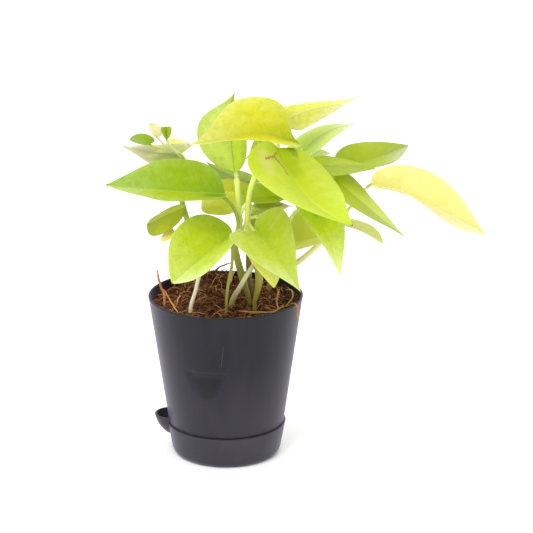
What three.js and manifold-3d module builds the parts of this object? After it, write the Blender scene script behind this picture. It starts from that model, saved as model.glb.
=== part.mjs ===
// A potted golden pothos: a black self-watering pot standing in its saucer, coco-fibre soil,
// seven rooted stems with their leaf stalks, and 29 heart-shaped leaves, each its own solid.
// Millimetres, +Z up. The origin is the middle of the saucer's flat underside, -Y is the front.
import * as THREE from 'three';
import { mergeVertices } from 'three/addons/utils/BufferGeometryUtils.js';
import Module from 'manifold-3d';

const wasm = await Module();
wasm.setup();

// Driving dimensions
const GAP = 0.3; // clearance between neighbouring solids
const ROUND = 40; // facets round the pot, the saucer and the soil

const POT_HEIGHT = 118;
const RIM_RADIUS = 55;
const POT_WALL = 1.5;
const POT_BELT_RADIUS = 41.4; // outside of the pot just above the saucer
const POT_FLOOR = 6.5; // underside of the pot's floor
const FOOT_RADIUS = 12; // hollow foot that carries soil down to the water
const DRAIN_RING = 24;
const DRAIN_HOLE = 2.5;

const SAUCER_HEIGHT = 23;
const SAUCER_RADIUS = 42.7;
const SAUCER_LOW_RADIUS = 39.4;
const SAUCER_FILLET = 5;
const SAUCER_WALL = 1.7;
const SAUCER_FLOOR = 2;

const SPOUT_X = -39.5;
const SPOUT_RADIUS = 12.3;
const SPOUT_WALL = 1.4;
const SPOUT_TOP = 27.5;
const SPOUT_BOTTOM = 12;

const SOIL_EDGE = 111.5; // soil level at the pot wall
const SOIL_MOUND = 5; // how far it rises round the stems
const SOIL_MOUND_SPREAD = 36;
const SOIL_RINGS = 5;
const HOLE_MARGIN = 0.5; // round a stem where it stands in the soil
const STRAND_RADIUS = 0.9;

const LEAF_THICKNESS = 0.8;
const STALK_RADIUS = 1;
const SEAT = 3; // length of blade that lies over the end of its stalk
const SEAT_GAP = 0.5;
const SMALL_LEAF = 32; // leaves shorter than this have fewer facets and a thinner stalk
const SMALL_SHARE = 0.6;

// The stems: radius and the points that each passes through, the first one below the soil
const STEMS = {
  stem_left: {
    radius: 1.9,
    path: [[-24, -27, 96], [-24, -27, 116], [-20, -24, 130], [-18, -19, 146], [-25.5, -11, 172],
      [-32, 2, 196], [-28, 12, 208]],
  },
  stem_front_left: {
    radius: 1.1,
    path: [[1, -33, 96], [1, -33, 116], [2, -31, 132], [5, -26, 148], [5, -21, 160]],
  },
  stem_middle: {
    radius: 1.9,
    path: [[17, -15, 96], [17, -15, 116], [13.9, -15, 128.1], [10.4, -14, 140.8], [7.6, -12, 151.9],
      [7.4, -11, 158.2], [9.1, -9, 166.4], [10.2, -7, 173.1], [9.8, -5, 181.2], [8.9, -1, 194.6],
      [8.1, 5.8, 201.2]],
  },
  stem_front: {
    radius: 1.9,
    path: [[20.7, -24, 96], [20.7, -24, 118], [22.8, -24.5, 129], [23.8, -25, 139], [21.5, -25, 152],
      [17.6, -24, 165], [15.8, -22.5, 176], [16.1, -22, 187], [17.8, -22, 200], [22, -22, 213]],
  },
  stem_slanting: {
    radius: 1.6,
    path: [[4.5, -18, 96], [4.5, -18, 116], [11, -22, 131], [19.5, -21, 145], [35, -17, 163],
      [48, -14, 181]],
  },
  stem_right: {
    radius: 2,
    path: [[18.4, -5, 96], [18.4, -5, 117], [16.7, -3, 134], [16.6, 2, 148], [18.6, 8, 161],
      [20.5, 11, 175], [24, 12, 188], [30, 15, 203], [41, 13, 216]],
  },
  stem_far_right: {
    radius: 1.9,
    path: [[30.5, 20, 96], [30.5, 20, 116], [38, 24, 138], [48, 27, 160], [57, 28, 181], [66, 20, 198]],
  },
};

// The leaves. base is where the stalk meets the blade and tip is its point. roll, fold, twist
// and lean are in degrees: the tilt round the midrib, the rise of each half from it, the turn
// of the tip against the base, and the difference between the halves. bow and curl are shares
// of the length, the arch of the midrib and the droop of the tip; cup is the sag of the halves,
// skew the difference of their widths. lobe is the reach of the two lobes behind the stalk, or of
// each of them, belly the share of the length where the blade is widest, tail how early it narrows
// to its tip and point the fullness of the tip. The stalk leaves its stem at the share "at" of the
// stem's length, and bend holds the two inner points of its curve where it isn't the usual one.
const LEAVES = {
  leaf_top_yellow: {
    base: [55.1, 3, 224.9], tip: [-23.5, 3, 212.9], width: 56.5, roll: -19, fold: 52, bow: 0.209,
    curl: -0.24, twist: -9, lean: 31, cup: 0.03, lobe: [-0.046, -0.142], belly: 0.375, point: 0.05,
    tail: 0.81, stem: 'stem_right', at: 0.96, color: 0xe1e83c,
  },
  leaf_front_large: {
    base: [36.3, -26, 231], tip: [86.6, -72, 189], width: 85, roll: -13.6, fold: 17.7, bow: -0.112,
    curl: -0.005, twist: -12.7, cup: 0.251, skew: 0.085, lobe: [0, 0.057], belly: 0.205,
    point: 0.8, tail: 0.59, stem: 'stem_front', at: 1, color: 0xc4e228,
  },
  leaf_front_middle: {
    base: [21.5, -36, 175.5], tip: [52, -87, 147], width: 49.5, roll: 17, fold: 30, bow: 0.026,
    curl: -0.019, twist: -12, lean: -2, cup: -0.086, skew: 0.041, lobe: [0.13, -0.02], belly: 0.16,
    point: 0.16, tail: 0.77, stem: 'stem_front', at: 0.67, color: 0xbee03c,
  },
  leaf_front_left: {
    base: [4, -22.5, 167.1], tip: [-34.6, -70.5, 147.5], width: 52.6, roll: 1, fold: 37,
    bow: 0.018, curl: -0.016, twist: 34, lean: 1, cup: -0.096, skew: -0.002, lobe: [0.02, 0.13],
    belly: 0.4, point: 0.72, tail: 0.92, stem: 'stem_front_left', at: 1, color: 0xbad628,
  },
  leaf_left_green: {
    base: [0.2, -16, 196], tip: [-81.8, -24, 204], width: 52.8, roll: -9.6, fold: 26.4,
    bow: -0.013, curl: -0.008, twist: 8.8, lean: 11.9, cup: -0.058, skew: -0.095, lobe: [0.02, 0],
    belly: 0.336, point: 0.85, tail: 0.64, stem: 'stem_middle', at: 0.62, color: 0x96be14,
  },
  leaf_right_drooping: {
    base: [60, -13, 188], tip: [80, -56, 149], width: 34, roll: 5, fold: 17, bow: 0.071,
    curl: 0.024, twist: 15, lean: 6, cup: 0.077, skew: -0.018, belly: 0.19, point: 0.22,
    stem: 'stem_slanting', at: 1, color: 0xb4d71e,
  },
  leaf_front_hidden: {
    base: [19.5, -31, 165], tip: [35, -49, 139], width: 25, roll: 3, fold: 15, bow: 0.086,
    curl: 0.059, twist: -15, lean: 2, cup: 0.059, skew: -0.017, belly: 0.28, point: 0.37,
    tail: 0.9, stem: 'stem_front', at: 0.5, color: 0xe1e13c,
  },
  leaf_back_upright: {
    base: [6.5, 28, 200], tip: [4, 90, 247], width: 57, roll: -25, fold: 50, bow: 0.073,
    curl: 0.079, twist: 3, lean: -6, cup: 0.002, skew: 0.006, lobe: [0, 0.03], belly: 0.27,
    point: 0.12, tail: 0.61, stem: 'stem_middle', at: 1, color: 0xbee15a,
  },
  leaf_back_right_yellow: {
    base: [40, 31, 237], tip: [96.4, 81, 237], width: 34, roll: 7.9, fold: 0.8, bow: 0.054,
    curl: -0.105, twist: 10, lean: -8, cup: 0.02, skew: 0.1, lobe: 0.05, belly: 0.05, tail: 0.71,
    stem: 'stem_right', at: 0.9, color: 0xebf050,
  },
  leaf_back_right_pale: {
    base: [52, 28, 212.5], tip: [94, 70, 225], width: 35.5, roll: -2, fold: 8, bow: 0.094,
    curl: 0.005, twist: 9, lean: 1, cup: 0.096, skew: -0.008, belly: 0.33, point: 0.22, tail: 0.83,
    stem: 'stem_right', at: 0.84, color: 0xc3e45f,
  },
  leaf_right_middle: {
    base: [64, 1.9, 210.6], tip: [113.4, 23.9, 201.9], width: 37, roll: 13, fold: 3, bow: 0.06,
    curl: 0.04, twist: 13, lean: 3, cup: 0.1, stem: 'stem_far_right', at: 1, color: 0xaac346,
  },
  leaf_right_back: {
    base: [83.8, 34, 201], tip: [133, 72, 208], width: 35.8, roll: 17.7, fold: 31.5, bow: -0.008,
    curl: -0.013, twist: -14.4, lean: -9.2, cup: -0.023, skew: 0.163, belly: 0.196, point: 0.29,
    tail: 0.87, stem: 'stem_far_right', at: 0.85, color: 0x96be28,
  },
  leaf_right_low: {
    base: [78, -6, 203], tip: [125, -12, 164], width: 44.5, roll: 10, fold: 4, bow: -0.009,
    curl: -0.006, twist: 16, cup: 0.063, skew: -0.022, belly: 0.3, point: 0.44, tail: 0.87,
    stem: 'stem_far_right', at: 0.8, color: 0x96b932,
  },
  leaf_right_curled: {
    base: [75, 29, 162.5], tip: [114, 36.5, 146], width: 36.5, roll: -18, fold: 13, bow: 0.032,
    curl: 0.061, twist: -22, lean: -8, cup: 0.084, skew: 0.012, belly: 0.39, point: 0.71,
    tail: 0.95, stem: 'stem_far_right', at: 0.55, color: 0xbecd5a,
  },
  leaf_far_right: {
    base: [103, -6, 199], tip: [180, -24, 164], width: 41.6, roll: 15.8, fold: 50, bow: 0.088,
    curl: -0.088, twist: -55, lean: -1, cup: -0.021, lobe: [0.033, -0.194], belly: 0.4,
    point: 0.05, tail: 0.95, stem: 'stem_far_right', at: 0.3,
    bend: [[67, -23, 142], [105, 58, 200]], color: 0xfafaa0,
  },
  leaf_under_right: {
    base: [74.4, -2, 162.8], tip: [37.1, 4, 150], width: 50, roll: -28, fold: 23, bow: 0.026,
    lean: -7.4, cup: 0.05, skew: 0.1, lobe: 0.08, belly: 0.4, point: 0.2, stem: 'stem_far_right',
    at: 0.45, bend: [[58, 20, 150], [83, -2.5, 158]], color: 0xaab93c,
  },
  leaf_right_small: {
    base: [60.8, 39, 208.5], tip: [76.1, 46, 208.5], width: 19, roll: 4, fold: 10, bow: 0.1,
    curl: 0.04, cup: 0.08, stem: 'stem_far_right', at: 0.97, color: 0xc8e46e,
  },
  leaf_middle_yellow: {
    base: [47, 32, 202], tip: [14, 70, 201], width: 44, roll: 32, fold: 16, bow: 0.09, curl: 0.06,
    twist: 5, lean: -3, cup: 0.06, stem: 'stem_right', at: 0.72, color: 0xe4e832,
  },
  leaf_back_left: {
    base: [19.3, 44, 188], tip: [-16.2, 74, 196], width: 38.4, roll: 10.2, fold: 7.4, bow: -0.044,
    curl: -0.002, twist: 6, cup: 0.13, belly: 0.273, point: 0.04, tail: 0.79, stem: 'stem_right',
    at: 0.6, color: 0x82a03c,
  },
  leaf_middle_under: {
    base: [16.6, 16, 185], tip: [-21.5, 39, 177], width: 38.7, roll: -35.9, fold: 3.8, bow: 0.166,
    curl: 0.027, twist: -9.1, lean: -4, cup: 0.1, skew: -0.297, lobe: [0, 0.112], belly: 0.4,
    tail: 0.585, stem: 'stem_middle', at: 0.5, color: 0xc3d45a,
  },
  leaf_middle_dark: {
    base: [16, -6, 189.5], tip: [46, 7, 186.5], width: 30, roll: 16, fold: 18, bow: 0.04,
    curl: 0.02, cup: 0.08, lobe: 0.04, stem: 'stem_middle', at: 0.72, color: 0x96b432,
  },
  leaf_middle_green: {
    base: [23, -17, 182], tip: [48, 6, 181], width: 24, roll: 3, fold: 12, bow: 0.08, curl: 0.03,
    cup: 0.07, stem: 'stem_front', at: 0.7, color: 0x82aa14,
  },
  leaf_vine_cup: {
    base: [-32.2, 14, 217], tip: [-75.4, 36, 218], width: 35.4, roll: -24.4, fold: 0, bow: -0.041,
    curl: 0.015, twist: -15.3, lean: -4.3, cup: 0.104, skew: 0.007, belly: 0.069, point: 0.16,
    tail: 0.82, stem: 'stem_left', at: 0.98, color: 0xb4c38c,
  },
  leaf_vine_round: {
    base: [-53, 20, 223], tip: [-68, 32, 224], width: 13.5, roll: -12, fold: 18, bow: 0.033,
    curl: 0.046, twist: 18, lean: 1, cup: 0.12, skew: -0.027, belly: 0.28, point: 0.46, tail: 0.95,
    stem: 'stem_left', at: 0.95, bend: [[-20, 0, 227], [-46, 14, 219]], color: 0x96c346,
  },
  leaf_vine_bud_cream: {
    base: [-48, 18, 229], tip: [-54, 32, 235], width: 10, roll: 3, fold: 21, bow: 0.09, cup: 0.07,
    stem: 'stem_left', at: 0.99, bend: [[-24, -1, 219.6], [-46.5, 12.4, 222.8]], color: 0xebebb4,
  },
  leaf_vine_bud_green: {
    base: [-41, 15, 227.5], tip: [-42, 28, 233.5], width: 11.5, roll: 2, fold: 50, bow: 0.001,
    curl: -0.009, twist: 3, lean: 1, cup: 0.028, skew: -0.033, belly: 0.43, point: 0.13,
    stem: 'stem_left', at: 0.97, bend: [[-25, 1.4, 216], [-40, 2, 225]], color: 0x8cb93c,
  },
  leaf_vine_yellow: {
    base: [-34.8, 38, 205], tip: [-26.1, 36, 220], width: 25.9, roll: 65.4, fold: 45.8, bow: 0.02,
    twist: 10, lean: 10.5, skew: -0.09, lobe: 0, belly: 0.5, point: 0.3, tail: 0.9,
    stem: 'stem_left', at: 0.96, bend: [[-24, 22, 200], [-30, 36, 198]], color: 0xebf06e,
  },
  leaf_vine_olive: {
    base: [-29.9, -15, 185], tip: [-54, -6, 170], width: 23.3, roll: -30.7, fold: -6, bow: 0.025,
    curl: -0.062, twist: -4.1, lean: 1.8, cup: 0.065, skew: -0.25, belly: 0.55, point: 0.9,
    tail: 0.95, stem: 'stem_left', at: 0.58, color: 0xa5b432,
  },
  leaf_vine_bud_pale: {
    base: [-37.5, -16, 170.5], tip: [-44, -24, 163], width: 7.5, roll: -5, fold: -4, bow: -0.02,
    curl: -0.027, twist: 3, cup: 0.068, skew: -0.035, belly: 0.49, point: 0.24, tail: 0.81,
    stem: 'stem_left', at: 0.5, color: 0xe1dc8c,
  },
};

// Stray strands of coir that stand out of the soil, fused into it
const STRANDS = [
  [[-28, -27, 110], [-37, -17, 115], [-44, -9, 117], [-47, -4, 124], [-49, -2, 136]],
  [[34, -30, 110], [38, -34, 119], [40, -32, 126]],
  [[36, -20, 109], [42, -24, 117], [48.5, -26.5, 120.5], [50.5, -28.5, 112]],
  [[2, 24, 114], [8, 28, 121], [14, 26, 127]],
];

const vector = (point) => new THREE.Vector3(...point);
const radians = THREE.MathUtils.degToRad;

// Merges a geometry's shared points and drops the flat facets that a lathe leaves on its axis
function weld(geometry) {
  const bare = new THREE.BufferGeometry();
  bare.setAttribute('position', geometry.getAttribute('position').clone());
  bare.setIndex(geometry.getIndex());
  const merged = mergeVertices(bare, 1e-4);
  const corners = merged.getIndex().array;
  const kept = [];
  for (let i = 0; i < corners.length; i += 3) {
    const [a, b, c] = corners.slice(i, i + 3);
    if (a !== b && b !== c && c !== a) kept.push(a, b, c);
  }
  merged.setIndex(kept);
  return merged;
}

function toSolid(geometry) {
  const merged = weld(geometry);
  return new wasm.Manifold(new wasm.Mesh({
    numProp: 3,
    vertProperties: new Float32Array(merged.getAttribute('position').array),
    triVerts: new Uint32Array(merged.getIndex().array),
  }));
}

function toGeometry(solid) {
  const mesh = solid.getMesh();
  const geometry = new THREE.BufferGeometry();
  geometry.setAttribute('position', new THREE.BufferAttribute(new Float32Array(mesh.vertProperties), 3));
  geometry.setIndex(new THREE.BufferAttribute(new Uint32Array(mesh.triVerts), 1));
  return geometry;
}

// A body of revolution round +Z from [radius, height] points, first and last on the axis
function revolve(profile, sides = ROUND) {
  const points = profile.map(([radius, height]) => new THREE.Vector2(radius, height));
  return new THREE.LatheGeometry(points, sides).rotateX(Math.PI / 2);
}

// A round rod along a curve; arc is the number of facets in half its section
function rod(curve, radius, steps, arc = 3) {
  const section = new THREE.Shape().absarc(0, 0, radius, 0, 2 * Math.PI);
  return new THREE.ExtrudeGeometry(section, {
    steps, curveSegments: arc, extrudePath: curve, bevelEnabled: false,
  });
}

const smooth = (path) => new THREE.CatmullRomCurve3(path.map(vector), false, 'catmullrom', 0.5);

const stemRod = (path, radius) => rod(smooth(path), radius, 3 * (path.length - 1));

// The pot: a thin tapered shell with a rounded rim, a shoulder that sits on the saucer's lip,
// and a floor with drain holes round a hollow foot
function pot() {
  const shoulder = SAUCER_HEIGHT + GAP;
  const skirt = POT_BELT_RADIUS - 1;
  const inside = RIM_RADIUS - POT_WALL;
  const profile = [
    [0, SAUCER_FLOOR + GAP], [FOOT_RADIUS - 1, SAUCER_FLOOR + GAP], [FOOT_RADIUS, POT_FLOOR],
    [skirt - 5, POT_FLOOR], [skirt - 3.6, POT_FLOOR + 1.5], [skirt, shoulder], [POT_BELT_RADIUS, shoulder],
    [RIM_RADIUS, POT_HEIGHT - 0.7], [RIM_RADIUS - 0.4, POT_HEIGHT], [inside + 0.4, POT_HEIGHT],
    [inside, POT_HEIGHT - 0.7], [POT_BELT_RADIUS - POT_WALL, shoulder + 1],
    [skirt - POT_WALL, shoulder - 1], [skirt - 6, POT_FLOOR + POT_WALL],
    [FOOT_RADIUS - POT_WALL, POT_FLOOR + POT_WALL], [FOOT_RADIUS - 2.3, SAUCER_FLOOR + GAP + POT_WALL],
    [0, SAUCER_FLOOR + GAP + POT_WALL],
  ];
  let solid = toSolid(revolve(profile));
  for (let i = 0; i < 6; i += 1) {
    const angle = (i + 0.5) * Math.PI / 3;
    const drain = new THREE.CylinderGeometry(DRAIN_HOLE, DRAIN_HOLE, 4 * POT_WALL, 8).rotateX(Math.PI / 2);
    drain.translate(DRAIN_RING * Math.cos(angle), DRAIN_RING * Math.sin(angle), POT_FLOOR + POT_WALL / 2);
    solid = solid.subtract(toSolid(drain));
  }
  return toGeometry(solid);
}

// The space inside the saucer, and above its lip the pot's wall with its clearance
function saucerHollow() {
  const inside = SAUCER_RADIUS - SAUCER_WALL;
  const low = SAUCER_LOW_RADIUS - SAUCER_WALL;
  const rise = (RIM_RADIUS - POT_BELT_RADIUS) / (POT_HEIGHT - SAUCER_HEIGHT);
  const above = POT_BELT_RADIUS + GAP;
  const top = SPOUT_TOP + 3;
  return toSolid(revolve([
    [0, SAUCER_FLOOR], [low - 3.4, SAUCER_FLOOR], [low - 1.2, SAUCER_FLOOR + 0.7],
    [low, SAUCER_FLOOR + 2.5], [inside, SAUCER_HEIGHT - 0.4], [inside, SAUCER_HEIGHT + 0.01],
    [above, SAUCER_HEIGHT + 0.02],
    [above + rise * (top - SAUCER_HEIGHT), top], [0, top],
  ]));
}

// The saucer: the water tray with a half-cup on its left edge, open to the tray, to fill it
function saucer() {
  const fillet = [];
  for (let i = 0; i <= 4; i += 1) {
    const angle = (i / 4) * radians(84) - Math.PI / 2;
    fillet.push([
      SAUCER_LOW_RADIUS - SAUCER_FILLET * (1 - Math.cos(angle)),
      SAUCER_FILLET * (1 + Math.sin(angle)),
    ]);
  }
  const tray = toSolid(revolve([
    [0, 0], ...fillet, [SAUCER_RADIUS, SAUCER_HEIGHT - 0.5], [SAUCER_RADIUS - 0.4, SAUCER_HEIGHT],
    [0, SAUCER_HEIGHT],
  ]));
  const cup = toSolid(revolve([
    [0, SPOUT_BOTTOM], [SPOUT_RADIUS * 0.25, SPOUT_BOTTOM + 0.6], [SPOUT_RADIUS * 0.52, SPOUT_BOTTOM + 3.5],
    [SPOUT_RADIUS * 0.79, SPOUT_BOTTOM + 8], [SPOUT_RADIUS * 0.93, SPOUT_BOTTOM + 12],
    [SPOUT_RADIUS, SPOUT_TOP - 0.4], [SPOUT_RADIUS - 0.4, SPOUT_TOP], [0, SPOUT_TOP],
  ], 24).translate(SPOUT_X, 0, 0));
  const bore = SPOUT_RADIUS - SPOUT_WALL;
  const pocket = toSolid(revolve([
    [0, SPOUT_BOTTOM + 2.2], [bore * 0.23, SPOUT_BOTTOM + 2.8], [bore * 0.47, SPOUT_BOTTOM + 5],
    [bore * 0.79, SPOUT_BOTTOM + 8.5], [bore * 0.92, SPOUT_BOTTOM + 12], [bore, SPOUT_TOP],
    [bore, SPOUT_TOP + 1], [0, SPOUT_TOP + 1],
  ], 24).translate(SPOUT_X, 0, 0));
  return toGeometry(tray.add(cup).subtract(saucerHollow()).subtract(pocket));
}

// Height of the soil at a place
function soilHeight(x, y) {
  const spread = Math.hypot(x - 2, y - 6) / SOIL_MOUND_SPREAD;
  const lumps = 0.9 * Math.sin(x / 5.3 + 1) * Math.cos(y / 4.7) + 0.7 * Math.sin((x + y) / 3.1);
  const edge = 1 - Math.min(1, Math.hypot(x, y) / RIM_RADIUS) ** 6;
  return SOIL_EDGE + SOIL_MOUND * Math.exp(-spread * spread) + lumps * edge;
}

// The soil: fills the pot and its foot, with a lumpy top, stray strands and a plain hole
// round the foot of each stem
function soil() {
  const side = (height) => RIM_RADIUS - POT_WALL - GAP - 0.2
    - (POT_HEIGHT - height) * (RIM_RADIUS - POT_BELT_RADIUS) / (POT_HEIGHT - SAUCER_HEIGHT);
  const skirt = POT_BELT_RADIUS - 1;
  const floor = POT_FLOOR + POT_WALL + GAP;
  const rings = [];
  for (let i = 0; i <= SOIL_RINGS; i += 1) {
    rings.push([side(SOIL_EDGE) * (1 - i / SOIL_RINGS), POT_HEIGHT]);
  }
  const foot = FOOT_RADIUS - 2.3 - 2 * GAP;
  const geometry = revolve([
    [0, SAUCER_FLOOR + POT_WALL + 2 * GAP], [foot, SAUCER_FLOOR + POT_WALL + 2 * GAP],
    [foot + 0.5, floor], [skirt - 7.6, floor], [skirt - POT_WALL - 0.9, SAUCER_HEIGHT - 1],
    [side(SAUCER_HEIGHT + 2), SAUCER_HEIGHT + 2], ...rings,
  ]);
  const place = geometry.getAttribute('position');
  for (let i = 0; i < place.count; i += 1) {
    if (place.getZ(i) > POT_HEIGHT - 0.01) place.setZ(i, soilHeight(place.getX(i), place.getY(i)));
  }
  let solid = toSolid(geometry);
  for (const path of STRANDS) {
    solid = solid.add(toSolid(rod(smooth(path), STRAND_RADIUS, 6)));
  }
  for (const { radius, path: [root, ...rest] } of Object.values(STEMS)) {
    const deeper = [[root[0], root[1], root[2] - 2 * GAP], ...rest];
    solid = solid.subtract(toSolid(stemRod(deeper, radius + HOLE_MARGIN)));
  }
  return toGeometry(solid);
}

// A blade's own axes: along the chord, across it and up from its face
function bladeAxes({ base, tip, roll }) {
  const chord = vector(tip).sub(vector(base));
  const length = chord.length();
  const along = chord.normalize();
  const level = new THREE.Vector3(0, 0, 1).addScaledVector(along, -along.z).normalize();
  const across = new THREE.Vector3().crossVectors(along, level);
  const tilt = radians(roll);
  const face = level.multiplyScalar(Math.cos(tilt)).addScaledVector(across, Math.sin(tilt));
  return { length, along, face, across: new THREE.Vector3().crossVectors(along, face) };
}

// A cubic Bezier curve of numbers
function cubic(a, b, c, d, t) {
  const left = 1 - t;
  return a * left ** 3 + 3 * b * t * left ** 2 + 3 * c * t ** 2 * left + d * t ** 3;
}

// Half of the heart-shaped outline, from the notch at the stalk (0) to the point (1):
// shares of the length and of the half width
function heartOutline(t, lobe, { belly = 0.34, point = 0.1, tail = 0.8 }) {
  if (t < 0.5) {
    const back = 2 * t;
    return [cubic(0, -1.6 * lobe, -0.9 * lobe, belly, back), cubic(0, 0.1, 1, 1, back)];
  }
  const front = 2 * t - 1;
  return [cubic(belly, belly + 0.3, tail, 1, front), cubic(1, 1, point, 0, front)];
}

// The midrib at a share of the length: its place, direction and the face's normal there
function midrib(leaf, axes, share) {
  const { bow, curl = 0 } = leaf;
  const droop = Math.max(0, share - 0.55);
  const rise = 4 * bow * share * (1 - share) - 4 * curl * droop * droop;
  const slope = 4 * bow * (1 - 2 * share) - 8 * curl * droop;
  const place = vector(leaf.base).addScaledVector(axes.along, share * axes.length)
    .addScaledVector(axes.face, rise * axes.length);
  const direction = axes.along.clone().addScaledVector(axes.face, slope).normalize();
  const normal = axes.face.clone().addScaledVector(direction, -axes.face.dot(direction)).normalize();
  return { place, direction, normal };
}

// A point of the blade. side is 1 or -1, v runs from the midrib (0) to the edge (1)
function bladePoint(leaf, axes, t, v, side) {
  const { width, fold, twist = 0, lean = 0, cup = 0, skew = 0, lobe = 0.1 } = leaf;
  const half = (width / 2) * (1 + side * skew);
  const [edge, reach] = heartOutline(t, Array.isArray(lobe) ? lobe[(side + 1) / 2] : lobe, leaf);
  const rib = t ** 1.25;
  const share = rib + (edge - rib) * v;
  const out = reach * v;
  const slant = radians(fold + side * lean);
  const { place, direction, normal } = midrib(leaf, axes, share);
  const across = new THREE.Vector3().crossVectors(direction, normal);
  const turn = radians(twist) * share;
  const side3 = across.clone().multiplyScalar(Math.cos(turn)).addScaledVector(normal, Math.sin(turn));
  const up3 = normal.clone().multiplyScalar(Math.cos(turn)).addScaledVector(across, -Math.sin(turn));
  const sag = cup * out * out * Math.min(1.2, Math.max(0, 1.2 - share));
  return place.addScaledVector(side3, side * half * out * Math.cos(slant))
    .addScaledVector(up3, half * (out * Math.sin(slant) - sag));
}

// A leaf blade: a thin closed sheet, split into the same triangles on both faces
function blade(leaf) {
  const axes = bladeAxes(leaf);
  const small = axes.length < SMALL_LEAF;
  const rows = small ? 6 : 9;
  const columns = small ? 1 : 3;
  const points = [];
  const grid = [];
  for (let i = 1; i < rows; i += 1) {
    grid.push([]);
    for (let j = -columns; j <= columns; j += 1) {
      const side = j < 0 ? -1 : 1;
      grid[i - 1].push(points.length);
      points.push(bladePoint(leaf, axes, i / rows, Math.abs(j) / columns, side));
    }
  }
  const base = points.push(bladePoint(leaf, axes, 0, 0, 1)) - 1;
  const tip = points.push(bladePoint(leaf, axes, 1, 0, 1)) - 1;
  const faces = [];
  const last = 2 * columns;
  for (let j = 0; j < last; j += 1) {
    faces.push([base, grid[0][j + 1], grid[0][j]]);
    faces.push([grid[rows - 2][j], grid[rows - 2][j + 1], tip]);
    for (let i = 0; i < rows - 2; i += 1) {
      const [a, b, c, d] = [grid[i][j], grid[i][j + 1], grid[i + 1][j + 1], grid[i + 1][j]];
      if (j < columns) faces.push([a, b, d], [b, c, d]);
      else faces.push([a, b, c], [a, c, d]);
    }
  }
  const rim = [base, ...grid.map((row) => row[0]), tip, ...grid.map((row) => row[last]).reverse()];
  return thicken(points, faces, rim, LEAF_THICKNESS);
}

// Gives a sheet a thickness: both faces and the strip round its rim
function thicken(points, faces, rim, thickness) {
  const sheet = new THREE.BufferGeometry().setFromPoints(points);
  sheet.setIndex(faces.flat());
  sheet.computeVertexNormals();
  const normals = sheet.getAttribute('normal');
  const count = points.length;
  const places = [];
  for (const way of [0.5, -0.5]) {
    points.forEach((point, i) => {
      const normal = new THREE.Vector3().fromBufferAttribute(normals, i);
      places.push(point.clone().addScaledVector(normal, way * thickness));
    });
  }
  const corners = [];
  for (const [a, b, c] of faces) corners.push(a, b, c, count + a, count + c, count + b);
  rim.forEach((a, i) => {
    const b = rim[(i + 1) % rim.length];
    corners.push(a, b, count + a, b, count + b, count + a);
  });
  const geometry = new THREE.BufferGeometry().setFromPoints(places);
  geometry.setIndex(corners);
  return geometry;
}

// A leaf stalk: from the stem to its seat just under the blade's base, along the midrib
function stalk(leaf, curve) {
  const axes = bladeAxes(leaf);
  const small = axes.length < SMALL_LEAF;
  const size = small ? SMALL_SHARE : 1;
  const { direction, normal } = midrib(leaf, axes, 0);
  const drop = LEAF_THICKNESS / 2 + SEAT_GAP + STALK_RADIUS * size;
  const seat = vector(leaf.base).addScaledVector(direction, SEAT * size).addScaledVector(normal, -drop);
  const root = curve.getPointAt(leaf.at);
  const reach = seat.distanceTo(root);
  const away = root.clone().addScaledVector(curve.getTangentAt(leaf.at), 0.35 * reach);
  const near = seat.clone().addScaledVector(direction, -0.3 * reach);
  near.z -= 0.15 * reach;
  const [first, second] = leaf.bend ? leaf.bend.map(vector) : [away, near];
  const path = new THREE.CubicBezierCurve3(root, first, second, seat);
  return rod(path, STALK_RADIUS * size, small ? 4 : 7);
}

// A stem with the stalks of all its leaves, grown as one
function stem(name) {
  const { radius, path } = STEMS[name];
  const curve = smooth(path);
  let solid = toSolid(stemRod(path, radius));
  for (const leaf of Object.values(LEAVES)) {
    if (leaf.stem === name) solid = solid.add(toSolid(stalk(leaf, curve)));
  }
  return toGeometry(solid);
}

const plastic = { color: 0x35343a, roughness: 0.45, metalness: 0 };
const coir = { color: 0x6b4630, roughness: 0.95, metalness: 0 };
const green = { color: 0xc9d07a, roughness: 0.55, metalness: 0 };

const group = new THREE.Group();

function add(name, geometry, look) {
  const mesh = new THREE.Mesh(geometry, new THREE.MeshStandardMaterial(look));
  mesh.name = name;
  group.add(mesh);
}

add('saucer', saucer(), plastic);
add('pot', pot(), plastic);
add('soil', soil(), coir);
for (const name of Object.keys(STEMS)) add(name, stem(name), green);
for (const [name, leaf] of Object.entries(LEAVES)) {
  add(name, blade(leaf), { color: leaf.color, roughness: 0.4, metalness: 0 });
}

export default group;
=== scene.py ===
import math

import bpy
import numpy as np
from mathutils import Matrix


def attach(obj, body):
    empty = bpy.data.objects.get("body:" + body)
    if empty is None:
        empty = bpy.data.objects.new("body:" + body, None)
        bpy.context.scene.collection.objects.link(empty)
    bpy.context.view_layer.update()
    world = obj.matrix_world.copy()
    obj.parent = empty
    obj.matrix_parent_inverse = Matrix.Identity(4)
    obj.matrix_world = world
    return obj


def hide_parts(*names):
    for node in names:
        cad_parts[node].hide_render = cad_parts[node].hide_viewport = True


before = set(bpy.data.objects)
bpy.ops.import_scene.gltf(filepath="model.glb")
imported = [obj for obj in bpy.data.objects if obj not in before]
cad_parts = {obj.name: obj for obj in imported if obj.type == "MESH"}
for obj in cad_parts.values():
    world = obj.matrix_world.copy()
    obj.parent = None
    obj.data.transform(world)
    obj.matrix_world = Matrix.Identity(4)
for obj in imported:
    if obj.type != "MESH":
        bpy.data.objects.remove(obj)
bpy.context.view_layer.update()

# The potted golden pothos, dressed over its solids. Sizes are in millimetres in the part's frame
# (+Z up, front at -Y) and become metres when a mesh is made.
MM = 0.001
RNG = np.random.default_rng(7)

POT_HEIGHT = 118
RIM_RADIUS = 55
POT_WALL = 1.5
POT_BELT_RADIUS = 41.4
POT_FLOOR = 6.5
FOOT_RADIUS = 12
DRAIN_RING = 24
DRAIN_HOLE = 2.5

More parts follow.
